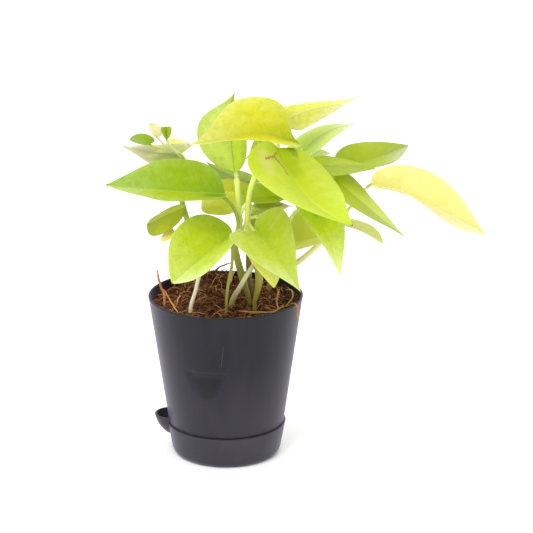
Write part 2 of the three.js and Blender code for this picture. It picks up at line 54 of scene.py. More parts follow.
SAUCER_HEIGHT = 23
SAUCER_RADIUS = 42.7
SAUCER_LOW_RADIUS = 39.4
SAUCER_FILLET = 5
SAUCER_WALL = 1.7
SAUCER_FLOOR = 2

SPOUT_X = -39.5
SPOUT_RADIUS = 12.3
SPOUT_WALL = 1.4
SPOUT_TOP = 27.5
SPOUT_BOTTOM = 12
POT_FLARE = (RIM_RADIUS - POT_BELT_RADIUS) / (POT_HEIGHT - SAUCER_HEIGHT)

SOIL_EDGE = 111.5  # the height of the soil at the rim
SOIL_MOUND = 5
SOIL_MOUND_SPREAD = 36
HEAP = (-8, 37, 15, 9, 10)  # of fibres: its middle, its spread in x and y, its height
BED_RINGS = 60
BED_SPOKES = 220
FIBRES = 3300
CRUMBS = 3000
STRAY_SHARE = 0.07  # of the fibres, those that are long and stand out
# Steps along a fibre, the least and most of its length, arch and thickness, and its sides
SHORT_FIBRE = (5, (2, 8), (-0.3, 1.6), (0.1, 0.3), 3)
STRAY_FIBRE = (8, (8, 18), (0.8, 3.5), (0.16, 0.34), 4)

BLADE_HALF = 0.25  # half the thickness of a blade away from its midrib
BLADE_GRID = (60, 18)  # rows along a blade and columns across each half
SMALL_GRID = (26, 8)
VEINS = 9  # side veins of each half, how curved they are and how far they slant
VEIN_BEND = 1.3
VEIN_SWEEP = 0.14
PLAIN_LENGTH = 75  # the length of blade for which the next four sizes are stated
QUILT = 0.1
EDGE_WAVE = 0.7
RIB_GROOVE = 0.12
RIB_HOLLOW = 0.3
STALK_RADIUS = 1.0
SEAT = 3  # how far along the blade its stalk is seated
SMALL_LEAF = 32  # a shorter blade has a smaller stalk and a coarser mesh
SMALL_SHARE = 0.6

MAP_UNIT = 100  # millimetres in one unit of a texture map
MAP_MIDDLE = 0.5  # where a blade's midrib lies in its flat map

# Each stem: its radius; how thick it is at the soil, in its lower sheath, at mid height and at its
# top; its skin colours at the foot, the middle and the top; and the points that it passes through
STEM_STATIONS = [0.17, 0.34, 0.6, 1]
STEMS = {
    "left": (1.9, (0.7, 0.78, 1, 1.12), "e4dcc0 d8d098 b4be46", [
        (-24, -27, 96), (-24, -27, 116), (-20, -24, 130), (-18, -19, 146), (-25.5, -11, 172),
        (-32, 2, 196), (-28, 12, 208)]),
    "front_left": (1.1, (0.8, 0.85, 1, 0.95), "8c6c48 949034 b0b448", [
        (1, -33, 96), (1, -33, 116), (2, -31, 132), (5, -26, 148), (5, -21, 160)]),
    "middle": (1.9, (0.75, 1.4, 1.15, 1), "887428 8a8a1e dce878", [
        (17, -15, 96), (17, -15, 116), (13.9, -15, 128.1), (10.4, -14, 140.8), (7.6, -12, 151.9),
        (7.4, -11, 158.2), (9.1, -9, 166.4), (10.2, -7, 173.1), (9.8, -5, 181.2), (8.9, -1, 194.6),
        (8.1, 5.8, 201.2)]),
    "front": (1.9, (0.7, 1.5, 1.1, 1), "8c7e28 98961e d6e26c", [
        (20.7, -24, 96), (20.7, -24, 118), (22.8, -24.5, 129), (23.8, -25, 139), (21.5, -25, 152),
        (17.6, -24, 165), (15.8, -22.5, 176), (16.1, -22, 187), (17.8, -22, 200), (22, -22, 213)]),
    "slanting": (1.6, (1.35, 1.1, 0.95, 0.85), "a48e3c e4dcb0 ccd878", [
        (4.5, -18, 96), (4.5, -18, 116), (11, -22, 131), (19.5, -21, 145), (35, -17, 163),
        (48, -14, 181)]),
    "right": (2.0, (0.8, 1.1, 1, 1), "5c4424 80702c d4e06c", [
        (18.4, -5, 96), (18.4, -5, 117), (16.7, -3, 134), (16.6, 2, 148), (18.6, 8, 161),
        (20.5, 11, 175), (24, 12, 188), (30, 15, 203), (41, 13, 216)]),
    "far_right": (1.9, (0.8, 1, 1, 0.95), "7c7a34 a8a850 bccf52", [
        (30.5, 20, 96), (30.5, 20, 116), (38, 24, 138), (48, 27, 160), (57, 28, 181),
        (66, 20, 198)]),
}

# The sizes of a leaf in the order of the table below, and the last of them in a plain leaf
SIZES = ("stem", "at", "base", "tip", "width", "roll", "fold", "bow", "curl", "twist", "lean",
         "cup", "skew", "belly", "point", "tail", "left_lobe", "right_lobe")
PLAIN_LEAF = dict(skew=0, belly=0.34, point=0.1, tail=0.8, left_lobe=0.1, right_lobe=0.1)


def grow(*sizes, **looks):
    """One leaf of the table."""
    return {**PLAIN_LEAF, **dict(zip(SIZES, sizes)), **looks}


# Each leaf: its stem and the share of the stem below its stalk; where the stalk meets the blade and
# the blade's point; its width; the tilt round the midrib and the rise of both halves in degrees;
# the arch, the droop of the point, the twist and the difference in rise of the halves; how far the
# halves sag and differ in width; then where it is widest, how blunt its point is and its two lobes.
# Its looks: shades in the middle, towards the stalk and towards the tip; a tint over the left or
# right half, partly the half's own tone and partly painted light and shade where it faces towards
# or away from the light; how pale the rib is; the colour underneath; pale specks that are painted
# glints; and, in millimetres on the flat blade, cracks as two ends and a width, and patches as a
# middle, a length, a width, a strength and a colour, some of them painted shadow. Its stalk may
# have two colours of its own, a sheath that is wider by a factor, or a bend, given by the two
# points that pull its curve
LEAVES = {
    "top_yellow": grow("right", 0.96, (55.1, 3, 224.9), (-23.5, 3, 212.9),
        56.5, -19, 52, 0.209, -0.24, -9, 31, 0.03, 0, 0.375, 0.05, 0.81, -0.046, -0.142,
        shades="ece844 ccd40c f4f4a8", left="fcfcd8"),
    "front_large": grow("front", 1, (36.3, -26, 231), (86.6, -72, 189),
        85, -13.6, 17.7, -0.112, -0.005, -12.7, 0, 0.251, 0.085, 0.205, 0.8, 0.59, 0, 0.057,
        shades="d0dc18 bcd010 d4e640", left="fcfcac", rib=0.06, cracks=[((9, 25), (7.4, 13.4), 1.2),
        ((7.4, 13.4), (10.8, 10.1), 1.6), ((10.8, 10.1), (15, 6.4), 1.4),
        ((15, 6.4), (20.7, 6.4), 1.0), ((7.4, 13.4), (3.9, 6.6), 1.1)],
        # its second and third patches, deep green near the stalk, are painted shadow cast by
        # top_yellow
        patches=[(11, 27, 22, 15, 0.75, "dadc70"), (13, -6, 21, 14, 0.95, "b8cc00"),
        (4.4, -14, 9, 8, 0.9, "a0b400")]),
    "front_middle": grow("front", 0.67, (21.5, -36, 175.5), (52, -87, 147),
        49.5, 17, 30, 0.026, -0.019, -12, -2, -0.086, 0.041, 0.16, 0.16, 0.77, 0.13, -0.02,
        shades="dce44c c0d41c e8f0ac", left="e4ecb0", sheath=1.3, stalk="a9b04a c3cf5c"),
    "front_left": grow("front_left", 1, (4, -22.5, 167.1), (-34.6, -70.5, 147.5),
        52.6, 1, 37, 0.018, -0.016, 34, 1, -0.096, -0.002, 0.4, 0.72, 0.92, 0.02, 0.13,
        shades="dce848 c0d818 ecf4bc", right="fcfcb8", specks=0.8),
    "left_green": grow("middle", 0.62, (0.2, -16, 196), (-81.8, -24, 204),
        52.8, -9.6, 26.4, -0.013, -0.008, 8.8, 11.9, -0.058, -0.095, 0.336, 0.85, 0.64, 0.02, 0,
        shades="ccd81c acc414 e0e8a0", left="ecf4e0", right="d4e8ac", rib=0.6,
        stalk="9cac30 a4b838", patches=[(7, -9, 15, 10, 0.85, "90b400")]),
    "right_drooping": grow("slanting", 1, (60, -13, 188), (80, -56, 149),
        34, 5, 17, 0.071, 0.024, 15, 6, 0.077, -0.018, 0.19, 0.22, shades="ecf818 c0e40c f8fcb8"),
    "front_hidden": grow("front", 0.5, (19.5, -31, 165), (35, -49, 139),
        25, 3, 15, 0.086, 0.059, -15, 2, 0.059, -0.017, 0.28, 0.37, 0.9,
        shades="fcf874 f8e848 fcfc98", left="f0f4e8"),
    "back_upright": grow("middle", 1, (6.5, 28, 200), (4, 90, 247),
        57, -25, 50, 0.073, 0.079, 3, -6, 0.002, 0.006, 0.27, 0.12, 0.61, 0, 0.03,
        shades="d8e474 ecf88c bcc84c", right="f8fcac", rib=0.6, stalk="dbe294 d4e480"),
    "back_right_yellow": grow("right", 0.9, (40, 31, 237), (96.4, 81, 237),
        34, 7.9, 0.8, 0.054, -0.105, 10, -8, 0.02, 0.1, 0.05, 0.1, 0.71, 0.05, 0.05,
        shades="e4e458 c0c818 f4f4c8", left="fcfcc4", right="f1f0d8"),
    "back_right_pale": grow("right", 0.84, (52, 28, 212.5), (94, 70, 225),
        35.5, -2, 8, 0.094, 0.005, 9, 1, 0.096, -0.008, 0.33, 0.22, 0.83,
        shades="f4fc9c dcfc54 f8f8e0", right="e8ece0"),
    "right_middle": grow("far_right", 1, (64, 1.9, 210.6), (113.4, 23.9, 201.9),
        37, 13, 3, 0.06, 0.04, 13, 3, 0.1,
        shades="b8c824 98b010 ccdc40", right="ecf0b8"),
    "right_back": grow("far_right", 0.85, (83.8, 34, 201), (133, 72, 208),
        35.8, 17.7, 31.5, -0.008, -0.013, -14.4, -9.2, -0.023, 0.163, 0.196, 0.29, 0.87,
        shades="c4d650 b0d418 ccd8ac", left="fcf8ac", right="f8f0f4"),
    "right_low": grow("far_right", 0.8, (78, -6, 203), (125, -12, 164),
        44.5, 10, 4, -0.009, -0.006, 16, 0, 0.063, -0.022, 0.3, 0.44, 0.87,
        shades="dce444 d0e814 d8e0ac", right="e4e8ac"),
    "right_curled": grow("far_right", 0.55, (75, 29, 162.5), (114, 36.5, 146),
        36.5, -18, 13, 0.032, 0.061, -22, -8, 0.084, 0.012, 0.39, 0.71, 0.95,
        shades="f0ecb8 d0dc78 fcf8dc", left="ecf0ac"),
    "far_right": grow("far_right", 0.3, (103, -6, 199), (180, -24, 164),
        41.6, 15.8, 50, 0.088, -0.088, -55, -1, -0.021, 0, 0.4, 0.05, 0.95, 0.033, -0.194,
        shades="f8f2d0 e8e090 f8f4dc", left="f8fcd4", under="fcf8b8", rib=0.8,
        bend=[(67, -23, 142), (105, 58, 200)], sheath=1.7, stalk="e8dca0 fcf8c0"),
    "under_right": grow("far_right", 0.45, (74.4, -2, 162.8), (37.1, 4, 150),
        50, -28, 23, 0.026, 0, 0, -7.4, 0.05, 0.1, 0.4, 0.2, 0.8, 0.08, 0.08,
        shades="fcf8ac f0f888 f8f8bc", right="f4f8b0", bend=[(58, 20, 150), (83, -2.5, 158)]),
    "right_small": grow("far_right", 0.97, (60.8, 39, 208.5), (76.1, 46, 208.5),
        19, 4, 10, 0.1, 0.04, 0, 0, 0.08,
        shades="fcfce4 fcfc84 fcfcfc", left="f0f4d0", under="f4fcb0"),
    "middle_yellow": grow("right", 0.72, (47, 32, 202), (14, 70, 201),
        44, 32, 16, 0.09, 0.06, 5, -3, 0.06, shades="eaee30 dce820 f2f260"),
    "back_left": grow("right", 0.6, (19.3, 44, 188), (-16.2, 74, 196),
        38.4, 10.2, 7.4, -0.044, -0.002, 6, 0, 0.13, 0, 0.273, 0.04, 0.79,
        shades="b0c414 bcdc14 9cac14", left="d4e4ac"),
    "middle_under": grow("middle", 0.5, (16.6, 16, 185), (-21.5, 39, 177),
        38.7, -35.9, 3.8, 0.166, 0.027, -9.1, -4, 0.1, -0.297, 0.4, 0.1, 0.585, 0, 0.112,
        shades="f0f060 d4e038 f8f87c", right="e8e8ac"),
    "middle_dark": grow("middle", 0.72, (16, -6, 189.5), (46, 7, 186.5),
        30, 16, 18, 0.04, 0.02, 0, 0, 0.08, 0, 0.34, 0.1, 0.8, 0.04, 0.04,
        shades="bcd414 a0c414 cce024", left="fcfcac", right="f0ecfc"),
    "middle_green": grow("front", 0.7, (23, -17, 182), (48, 6, 181),
        24, 3, 12, 0.08, 0.03, 0, 0, 0.07,
        shades="f8fc74 b8d044 fcfcfc", right="f4e8d4"),
    "vine_cup": grow("left", 0.98, (-32.2, 14, 217), (-75.4, 36, 218),
        35.4, -24.4, 0, -0.041, 0.015, -15.3, -4.3, 0.104, 0.007, 0.069, 0.16, 0.82,
        shades="dcdc98 acc040 fcf2e8", left="e8e8e0", patches=[(7, -6, 19, 14, 0.75, "acb868")]),
    "vine_round": grow("left", 0.95, (-53, 20, 223), (-68, 32, 224),
        13.5, -12, 18, 0.033, 0.046, 18, 1, 0.12, -0.027, 0.28, 0.46, 0.95,
        shades="a4bc34 90b414 acc088", right="fcfcac", bend=[(-20, 0, 227), (-46, 14, 219)]),
    "vine_bud_cream": grow("left", 0.99, (-48, 18, 229), (-54, 32, 235),
        10, 3, 21, 0.09, 0, 0, 0, 0.07,
        shades="ece4b8 ece8a8 d8d898", bend=[(-24, -1, 219.6), (-46.5, 12.4, 222.8)],
        stalk="b0b860 b8bc84"),
    "vine_bud_green": grow("left", 0.97, (-41, 15, 227.5), (-42, 28, 233.5),
        11.5, 2, 50, 0.001, -0.009, 3, 1, 0.028, -0.033, 0.43, 0.13,
        shades="b4c430 a8c034 b8c428", left="e8fcac", bend=[(-25, 1.4, 216), (-40, 2, 225)],
        stalk="b0b860 a8b874"),
    "vine_yellow": grow("left", 0.96, (-34.8, 38, 205), (-26.1, 36, 220),
        25.9, 65.4, 45.8, 0.02, 0, 10, 10.5, 0, -0.09, 0.5, 0.3, 0.9, 0, 0,
        shades="f8f8b0 f8f470 f8f8d8", under="fcfc98", bend=[(-24, 22, 200), (-30, 36, 198)]),
    "vine_olive": grow("left", 0.58, (-29.9, -15, 185), (-54, -6, 170),
        23.3, -30.7, -6, 0.025, -0.062, -4.1, 1.8, 0.065, -0.25, 0.55, 0.9, 0.95,
        shades="e0e448 ecf428 c8d070", left="e4e8ac"),
    "vine_bud_pale": grow("left", 0.5, (-37.5, -16, 170.5), (-44, -24, 163),
        7.5, -5, -4, -0.02, -0.027, 3, 0, 0.068, -0.035, 0.49, 0.24, 0.81,
        shades="fcf4b0 fcf4a0 fcf8c0", left="fcfcc8", under="fcf0a8"),
}

# A dent in the pot's front: its middle, top, bottom, half width and depth; and a scratch above it
DENT = (-12, 74.5, 52, 15, 1.1)
SCRATCH = ((-0.6, 98), (-2.6, 79.5))

# Long stray strands of coir: the points that each passes through, its radius and its colour
STRANDS = [
    ([(-43.3, -13, 113), (-43, -10, 117), (-43.5, -6, 120), (-45.6, -4, 124), (-47.5, -3, 131),
      (-48.4, -2, 136.5)], 0.95, "b4714e"),
    ([(-32.8, -29.2, 113.6), (-38, -14.5, 116), (-42.5, -3, 120), (-44.5, 1, 121)], 0.5, "d8944c"),
    ([(-43.4, 15, 114), (-39.8, 18.9, 115.6), (-35.5, 19.3, 116), (-32.1, 18.7, 114.2)], 0.7,
     "8c4a2c"),
    ([(-31.9, -2, 117.2), (-33.5, -5, 116), (-34.6, -10, 112.5)], 0.5, "c89c6c"),
    ([(9.1, -27.4, 114), (12.6, -31.3, 115.2), (18.2, -33.3, 115.4), (24.8, -31.9, 114.8),
      (30, -32.2, 114.8), (34.2, -31.8, 115.2), (37.7, -25.6, 115.2), (42, -20.8, 115.4),
      (45.6, -14.5, 114.4)], 0.7, "c08a60"),
    ([(38, -1, 121.5), (37.4, -4, 120), (36.4, -10.4, 118.2), (36.3, -14.3, 116.1),
      (36.8, -19.2, 114.9), (37.7, -26, 115)], 0.75, "cc8a70"),
    ([(43.1, 20, 114.3), (45.2, 12.8, 116.9), (47.2, 8.3, 117.3), (47.7, -1.6, 117.5),
      (46.9, -7.5, 116.5), (45.2, -11, 115.4), (42.7, -17.7, 114.9)], 0.65, "b49460"),
    ([(45.5, -16.5, 115.4), (47.8, -24, 118.6), (49.6, -27, 118.9), (50.6, -28, 117),
      (50.9, -28.2, 113.8), (50.6, -28, 110.5), (50.9, -27.6, 107.5)], 0.65, "c88c50"),
    ([(-9, 37, 121), (-6, 34, 126.5), (-1.5, 29.5, 130), (3.5, 26, 133)], 0.6, "5c3c2c"),
    ([(-25.9, 22, 116.2), (-27.1, 17.2, 116), (-28.3, 13.7, 114.7)], 0.55, "9c6844"),
    ([(5.6, 34, 123.5), (4, 30, 122), (3, 24, 118)], 0.9, "c8a080"),
]

# Plain colours of marks and dirt, and of painted shade and painted glints
DUST = "8f8a98"
PAINTED_DENT_SHADE = "050407"
SCRATCH_EDGE = "7c7884"
DRY_TIP = "8a5a24"
DRY_CRACK = "b08248"
PAINTED_GLINTS = "f4f2c0"
DULL_UNDERSIDE = "c4d67c"
SKIN_STREAK = "eeeab0"
SKIN_SCAR = "6b5a24"
COIR_DIRT = "2a160c"
COIR_SHADES = [(0, "1e0f08"), (0.35, "5a2f17"), (0.7, "9c6236"), (1, "d6a468")]


def linear(code):
    """A colour written as six hex digits, in Blender's linear numbers."""
    values = [int(code[i:i + 2], 16) / 255 for i in (0, 2, 4)]
    return [v / 12.92 if v <= 0.04045 else ((v + 0.055) / 1.055) ** 2.4 for v in values] + [1]


def unit(a):
    """Vectors brought to length one."""
    return a / np.linalg.norm(a, axis=-1, keepdims=True)


def make_object(name, points, faces, material, uvs=None, tints=None, sharp=35):
    """An object from points in millimetres. uvs maps a layer's name to one pair per point, and
    tints an attribute's name to one number or one colour per point."""
    mesh = bpy.data.meshes.new(name)
    mesh.from_pydata((np.asarray(points) * MM).tolist(), [], [list(map(int, f)) for f in faces])
    corners = np.zeros(len(mesh.loops), dtype=np.int32)
    mesh.loops.foreach_get("vertex_index", corners)
    for layer, pairs in (uvs or {}).items():
        uv = mesh.uv_layers.new(name=layer)
        uv.data.foreach_set("uv", np.asarray(pairs, dtype=np.float32)[corners].ravel())
    for label, numbers in (tints or {}).items():
        numbers = np.asarray(numbers, dtype=np.float32)
        kind, field = ("FLOAT_COLOR", "color") if numbers.ndim == 2 else ("FLOAT", "value")
        mesh.attributes.new(label, kind, "POINT").data.foreach_set(field, numbers.ravel())
    mesh.materials.append(material)
    mesh.shade_smooth()
    mesh.set_sharp_from_angle(angle=math.radians(sharp))
    mesh.validate()
    thing = bpy.data.objects.new(name, mesh)
    bpy.context.scene.collection.objects.link(thing)
    return thing


def piece(thing, slot, *nodes):
    """Puts an object under the part's root and hides the solids that it stands for."""
    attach(thing, "root")
    if nodes:
        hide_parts(*nodes)
    return thing


class Nodes:
    """Short ways to add shader nodes to a material."""

    def __init__(self, name):
        self.material = bpy.data.materials.new(name)
        self.material.use_nodes = True
        self.tree = self.material.node_tree
        self.tree.nodes.clear()

    def add(self, kind, inputs=(), **settings):
        """Adds a node. An input takes a socket, a value or a colour in hex digits."""
        node = self.tree.nodes.new(kind)
        for key, value in settings.items():
            setattr(node, key, value)
        for key, value in dict(inputs).items():
            if isinstance(value, bpy.types.NodeSocket):
                self.tree.links.new(value, node.inputs[key])
            else:
                node.inputs[key].default_value = linear(value) if isinstance(value, str) else value
        return node

    def math(self, operation, *values, clamp=False):
        return self.add("ShaderNodeMath", enumerate(values), operation=operation,
                        use_clamp=clamp).outputs[0]

    def times(self, a, b):
        return self.math("MULTIPLY", a, b)

    def minus(self, a, b):
        return self.math("SUBTRACT", a, b)

    def apart(self, a, b):
        """How far one number is from another."""
        return self.math("ABSOLUTE", self.minus(a, b))

    def vector(self, operation, *values):
        return self.add("ShaderNodeVectorMath", enumerate(values), operation=operation).outputs

    def mix(self, factor, a, b, blend="MIX"):
        """Mixes two colours."""
        return self.add("ShaderNodeMix", {0: factor, 6: a, 7: b}, data_type="RGBA",
                        blend_type=blend).outputs[2]

    def ramp(self, value, *stops):
        """A smooth change through (position, number) stops."""
        node = self.add("ShaderNodeValToRGB", {"Fac": value})
        node.color_ramp.interpolation = "EASE"
        elements = node.color_ramp.elements
        while len(elements) < len(stops):
            elements.new(0.5)
        for element, (position, number) in zip(elements, stops):
            element.position = position
            element.color = [number] * 3 + [1]
        return node.outputs[0]

    def wash(self, color, *layers):
        """Washes colours over a colour. Each layer is the value it follows, its colour and stops of
        (position, strength)."""
        for value, shade, *stops in layers:
            color = self.mix(self.ramp(value, *stops), color, shade)
        return color

    def noise(self, vector, scale, detail, roughness=0.5, distortion=0):
        return self.add("ShaderNodeTexNoise", {
            "Vector": vector, "Scale": scale, "Detail": detail, "Roughness": roughness,
            "Distortion": distortion}).outputs[0]

    def place(self):
        """Where a point of the surface lies, in metres."""
        return self.add("ShaderNodeTexCoord").outputs["Object"]

    def attribute(self, name, output="Fac"):
        return self.add("ShaderNodeAttribute", attribute_name=name).outputs[output]

    def uv(self, name):
        return self.add("ShaderNodeUVMap", uv_map=name).outputs[0]

    def split(self, vector):
        return self.add("ShaderNodeSeparateXYZ", {0: vector}).outputs

    def stretch(self, vector, x, y, z=1):
        """Multiplies a vector's parts."""
        return self.add("ShaderNodeMapping", {"Vector": vector, "Scale": (x, y, z)}).outputs[0]

    def bump(self, height, strength, distance, normal=None):
        inputs = {"Height": height, "Strength": strength, "Distance": distance}
        if normal is not None:
            inputs["Normal"] = normal
        return self.add("ShaderNodeBump", inputs).outputs[0]

    def principled(self, **inputs):
        names = [key.replace("_", " ").title().replace("Ior", "IOR") for key in inputs]
        return self.add("ShaderNodeBsdfPrincipled", zip(names, inputs.values())).outputs[0]

    def finish(self, shader):
        self.add("ShaderNodeOutputMaterial", {"Surface": shader})
        return self.material


def cubic(a, b, c, d, t):
    """A place on a Bezier curve, or places on it."""
    left = 1 - t
    return a * left ** 3 + 3 * b * t * left ** 2 + 3 * c * t ** 2 * left + d * t ** 3


def heart_outline(leaf, t, side):
    """Half of a blade's outline from notch to point: shares of the length and half width."""
    lobe = np.where(side < 0, leaf["left_lobe"], leaf["right_lobe"])
    belly = leaf["belly"]
    back = np.clip(2 * t, 0, 1)
    front = np.clip(2 * t - 1, 0, 1)
    share = np.where(t < 0.5, cubic(0, -1.6 * lobe, -0.9 * lobe, belly, back),
                     cubic(belly, belly + 0.3, leaf["tail"], 1, front))
    reach = np.where(t < 0.5, cubic(0, 0.1, 1, 1, back), cubic(1, 1, leaf["point"], 0, front))
    return share, reach


def blade_axes(leaf):
    """A blade's length, its direction from stalk to point and the direction it faces."""
    chord = np.subtract(leaf["tip"], leaf["base"]).astype(float)
    length = np.linalg.norm(chord)
    along = chord / length
    level = unit(np.array([0, 0, 1]) - along[2] * along)
    roll = math.radians(leaf["roll"])
    face = math.cos(roll) * level + math.sin(roll) * np.cross(along, level)
    return length, along, face


def midrib(leaf, share):
    """Place, direction and face normal along the midrib, for an array of shares of the length."""
    length, along, face = blade_axes(leaf)
    bow, curl = leaf["bow"], leaf["curl"]
    droop = np.clip(share - 0.55, 0, None)
    rise = 4 * bow * share * (1 - share) - 4 * curl * droop ** 2
    slope = 4 * bow * (1 - 2 * share) - 8 * curl * droop
    place = (np.array(leaf["base"], float) + np.outer(share * length, along)
             + np.outer(rise * length, face))
    direction = unit(along + np.outer(slope, face))
    normal = unit(face - (direction @ face)[:, None] * direction)
    return place, direction, normal


def blade_points(leaf, t, v):
    """Points of the blade's middle sheet, and the same laid flat, in millimetres. v runs from
    -1 at one edge through 0 at the midrib to 1 at the other."""
    side = np.sign(v)
    out = np.abs(v)
    edge, reach = heart_outline(leaf, t, side)
    rib = t ** 1.25
    share = rib + (edge - rib) * out
    half = leaf["width"] / 2 * (1 + side * leaf["skew"])
    far = reach * out
    place, direction, normal = midrib(leaf, share)
    across = np.cross(direction, normal)
    turn = (np.radians(leaf["twist"]) * share)[:, None]
    sideways = across * np.cos(turn) + normal * np.sin(turn)
    upwards = normal * np.cos(turn) - across * np.sin(turn)
    slant = np.radians(leaf["fold"] + side * leaf["lean"])
    sag = leaf["cup"] * far ** 2 * np.clip(1.2 - share, 0, 1.2)
    points = (place + sideways * (side * half * far * np.cos(slant))[:, None]
              + upwards * (half * (far * np.sin(slant) - sag))[:, None])
    flat = np.stack([share * blade_axes(leaf)[0], side * half * far], 1)
    return points, flat


def sheet_normals(points, faces):
    """Normals of a sheet of triangles at its points."""
    faces = np.asarray(faces)
    a, b, c = (points[faces[:, i]] for i in range(3))
    turned = np.cross(b - a, c - a)
    normals = np.zeros_like(points)
    for i in range(3):
        np.add.at(normals, faces[:, i], turned)
    return unit(normals)


def blade_grid(rows, columns):
    """Places (t, v) of a blade's points, its triangles, and its rim in order."""
    steps = 0.5 - 0.5 * np.cos(np.pi * np.arange(1, rows) / rows)
    steps = 0.35 * steps + 0.65 * np.arange(1, rows) / rows
    across = np.linspace(-1, 1, 2 * columns + 1)
    across = np.sign(across) * np.abs(across) ** 0.9
    width = len(across)
    base, tip = width * len(steps), width * len(steps) + 1
    t = np.append(np.repeat(steps, width), [0, 1])
    v = np.append(np.tile(across, len(steps)), [0, 0])
    faces = []
    for j in range(width - 1):
        faces.append((base, j + 1, j))
        faces.append(((rows - 2) * width + j, (rows - 2) * width + j + 1, tip))
        for i in range(rows - 2):
            a = i * width + j
            b, c, d = a + 1, a + width + 1, a + width
            faces += [(a, b, d), (b, c, d)] if j < columns else [(a, b, c), (a, c, d)]
    left = [i * width for i in range(rows - 1)]
    right = [i * width + width - 1 for i in range(rows - 1)]
    return t, v, faces, [base, *left, tip, *right[::-1]]


def blade_mesh(name, leaf, material):
    """A leaf blade: grooved midrib, quilted between its side veins, a faintly waved edge."""
    length = blade_axes(leaf)[0]
    t, v, faces, rim = blade_grid(*(SMALL_GRID if length < SMALL_LEAF else BLADE_GRID))
    points, flat = blade_points(leaf, t, v)
    normals = sheet_normals(points, faces)
    size = length / PLAIN_LENGTH
    seed = RNG.random(4) * 2 * np.pi
    out = np.abs(v)
    veins = VEINS * (t - VEIN_SWEEP * out ** VEIN_BEND)
    body = np.sin(np.pi * np.clip(t, 0, 1)) ** 0.5
    quilt = QUILT * np.cos(2 * np.pi * veins) * np.sin(np.pi * np.clip(out, 0, 1)) * body
    ripple = (np.sin(9 * t + seed[0] + 2 * np.sign(v))
              + 0.5 * np.sin(17 * t + seed[1] - np.sign(v)))
    wave = EDGE_WAVE * out ** 3 * body * ripple
    groove = np.exp(-(flat[:, 1] / (1.1 * size)) ** 2) * (1 - 0.7 * t)
    lift = (quilt + wave) * size
    half = BLADE_HALF * (1 - 0.4 * out ** 4)
    top = points + normals * (lift + half - RIB_GROOVE * size * groove)[:, None]
    bottom = points + normals * (lift - half - RIB_HOLLOW * size * groove)[:, None]
    count = len(points)
    everything = faces + [(count + a, count + c, count + b) for a, b, c in faces]
    for a, b in zip(rim, rim[1:] + rim[:1]):
        everything += [(a, b, count + a), (b, count + b, count + a)]
    return make_object(
        name, np.vstack([top, bottom]), everything, material,
        uvs={"Vein": np.tile(np.stack([0.5 + 0.5 * v, t], 1), (2, 1)),
             "Flat": np.tile(flat / MAP_UNIT + [0, MAP_MIDDLE], (2, 1))},
        tints={"under": np.repeat([0, 1], count)}, sharp=60)


def distances(path):
    """How far along a path each of its points lies."""
    return np.concatenate([[0], np.cumsum(np.linalg.norm(np.diff(path, axis=0), axis=1))])


def smooth_path(points, count):
    """Points at even spacing on the smooth curve through the given ones."""
    p = np.array(points, float)
    p = np.vstack([2 * p[0] - p[1], p, 2 * p[-1] - p[-2]])
    fine = []
    for i in range(1, len(p) - 2):
        s = np.linspace(0, 1, 60, endpoint=i == len(p) - 3)[:, None]
        a, b, c, d = p[i - 1:i + 3]
        fine.append(0.5 * (2 * b + (c - a) * s + (2 * a - 5 * b + 4 * c - d) * s ** 2
                           + (3 * b - a - 3 * c + d) * s ** 3))
    fine = np.vstack(fine)
    run = distances(fine)
    even = np.linspace(0, run[-1], count)
    return np.stack([np.interp(even, run, fine[:, i]) for i in range(3)], 1)


def tube(path, radii, sides):
    """A closed round tube along a path: points, faces, and (round, along) for each point."""
    path = np.asarray(path, float)
    count = len(path)
    direction = unit(np.gradient(path, axis=0))
    side = np.cross(direction[0], [0.3, 0.5, 0.8])
    sideways, upwards = [], []
    for d in direction:
        side = unit(side - (side @ d) * d)
        sideways.append(side)
        upwards.append(np.cross(d, side))
    angle = np.linspace(0, 2 * np.pi, sides, endpoint=False)
    radii = np.broadcast_to(radii, count)
    ring = (np.cos(angle)[None, :, None] * np.array(sideways)[:, None]
            + np.sin(angle)[None, :, None] * np.array(upwards)[:, None])
    points = (path[:, None] + ring * radii[:, None, None]).reshape(-1, 3)
    faces = []
    for i in range(count - 1):
        for j in range(sides):
            k = (j + 1) % sides
            a, b = i * sides + j, i * sides + k
            faces.append((a, b, b + sides, a + sides))
    faces.append(tuple(range(sides))[::-1])
    faces.append(tuple((count - 1) * sides + j for j in range(sides)))
    pairs = np.stack([np.tile(angle / (2 * np.pi), count),
                      np.repeat(distances(path) / MAP_UNIT, sides)], 1)
    return points, faces, pairs


class Bundle:
    """Several closed tubes or lumps gathered into one mesh, with a colour at each point."""

    def __init__(self):
        self.points, self.faces, self.pairs, self.tints = [], [], [], []
        self.count = 0

    def add(self, points, faces, pairs, tint):
        self.points.append(points)
        self.faces += [tuple(self.count + i for i in f) for f in faces]
        self.pairs.append(pairs)
        self.tints.append(np.broadcast_to(tint, (len(points), 4)))
        self.count += len(points)

    def object(self, name, material):
        return make_object(name, np.vstack(self.points), self.faces, material,
                           uvs={"Run": np.vstack(self.pairs)},
                           tints={"tint": np.vstack(self.tints)})


def blend(stops, place):
    """Colours along a line of (place, hex colour) stops, one for each place."""
    places = [stop for stop, _ in stops]
    colors = np.array([linear(code) for _, code in stops])
    return np.stack([np.interp(place, places, colors[:, i]) for i in range(4)], 1)


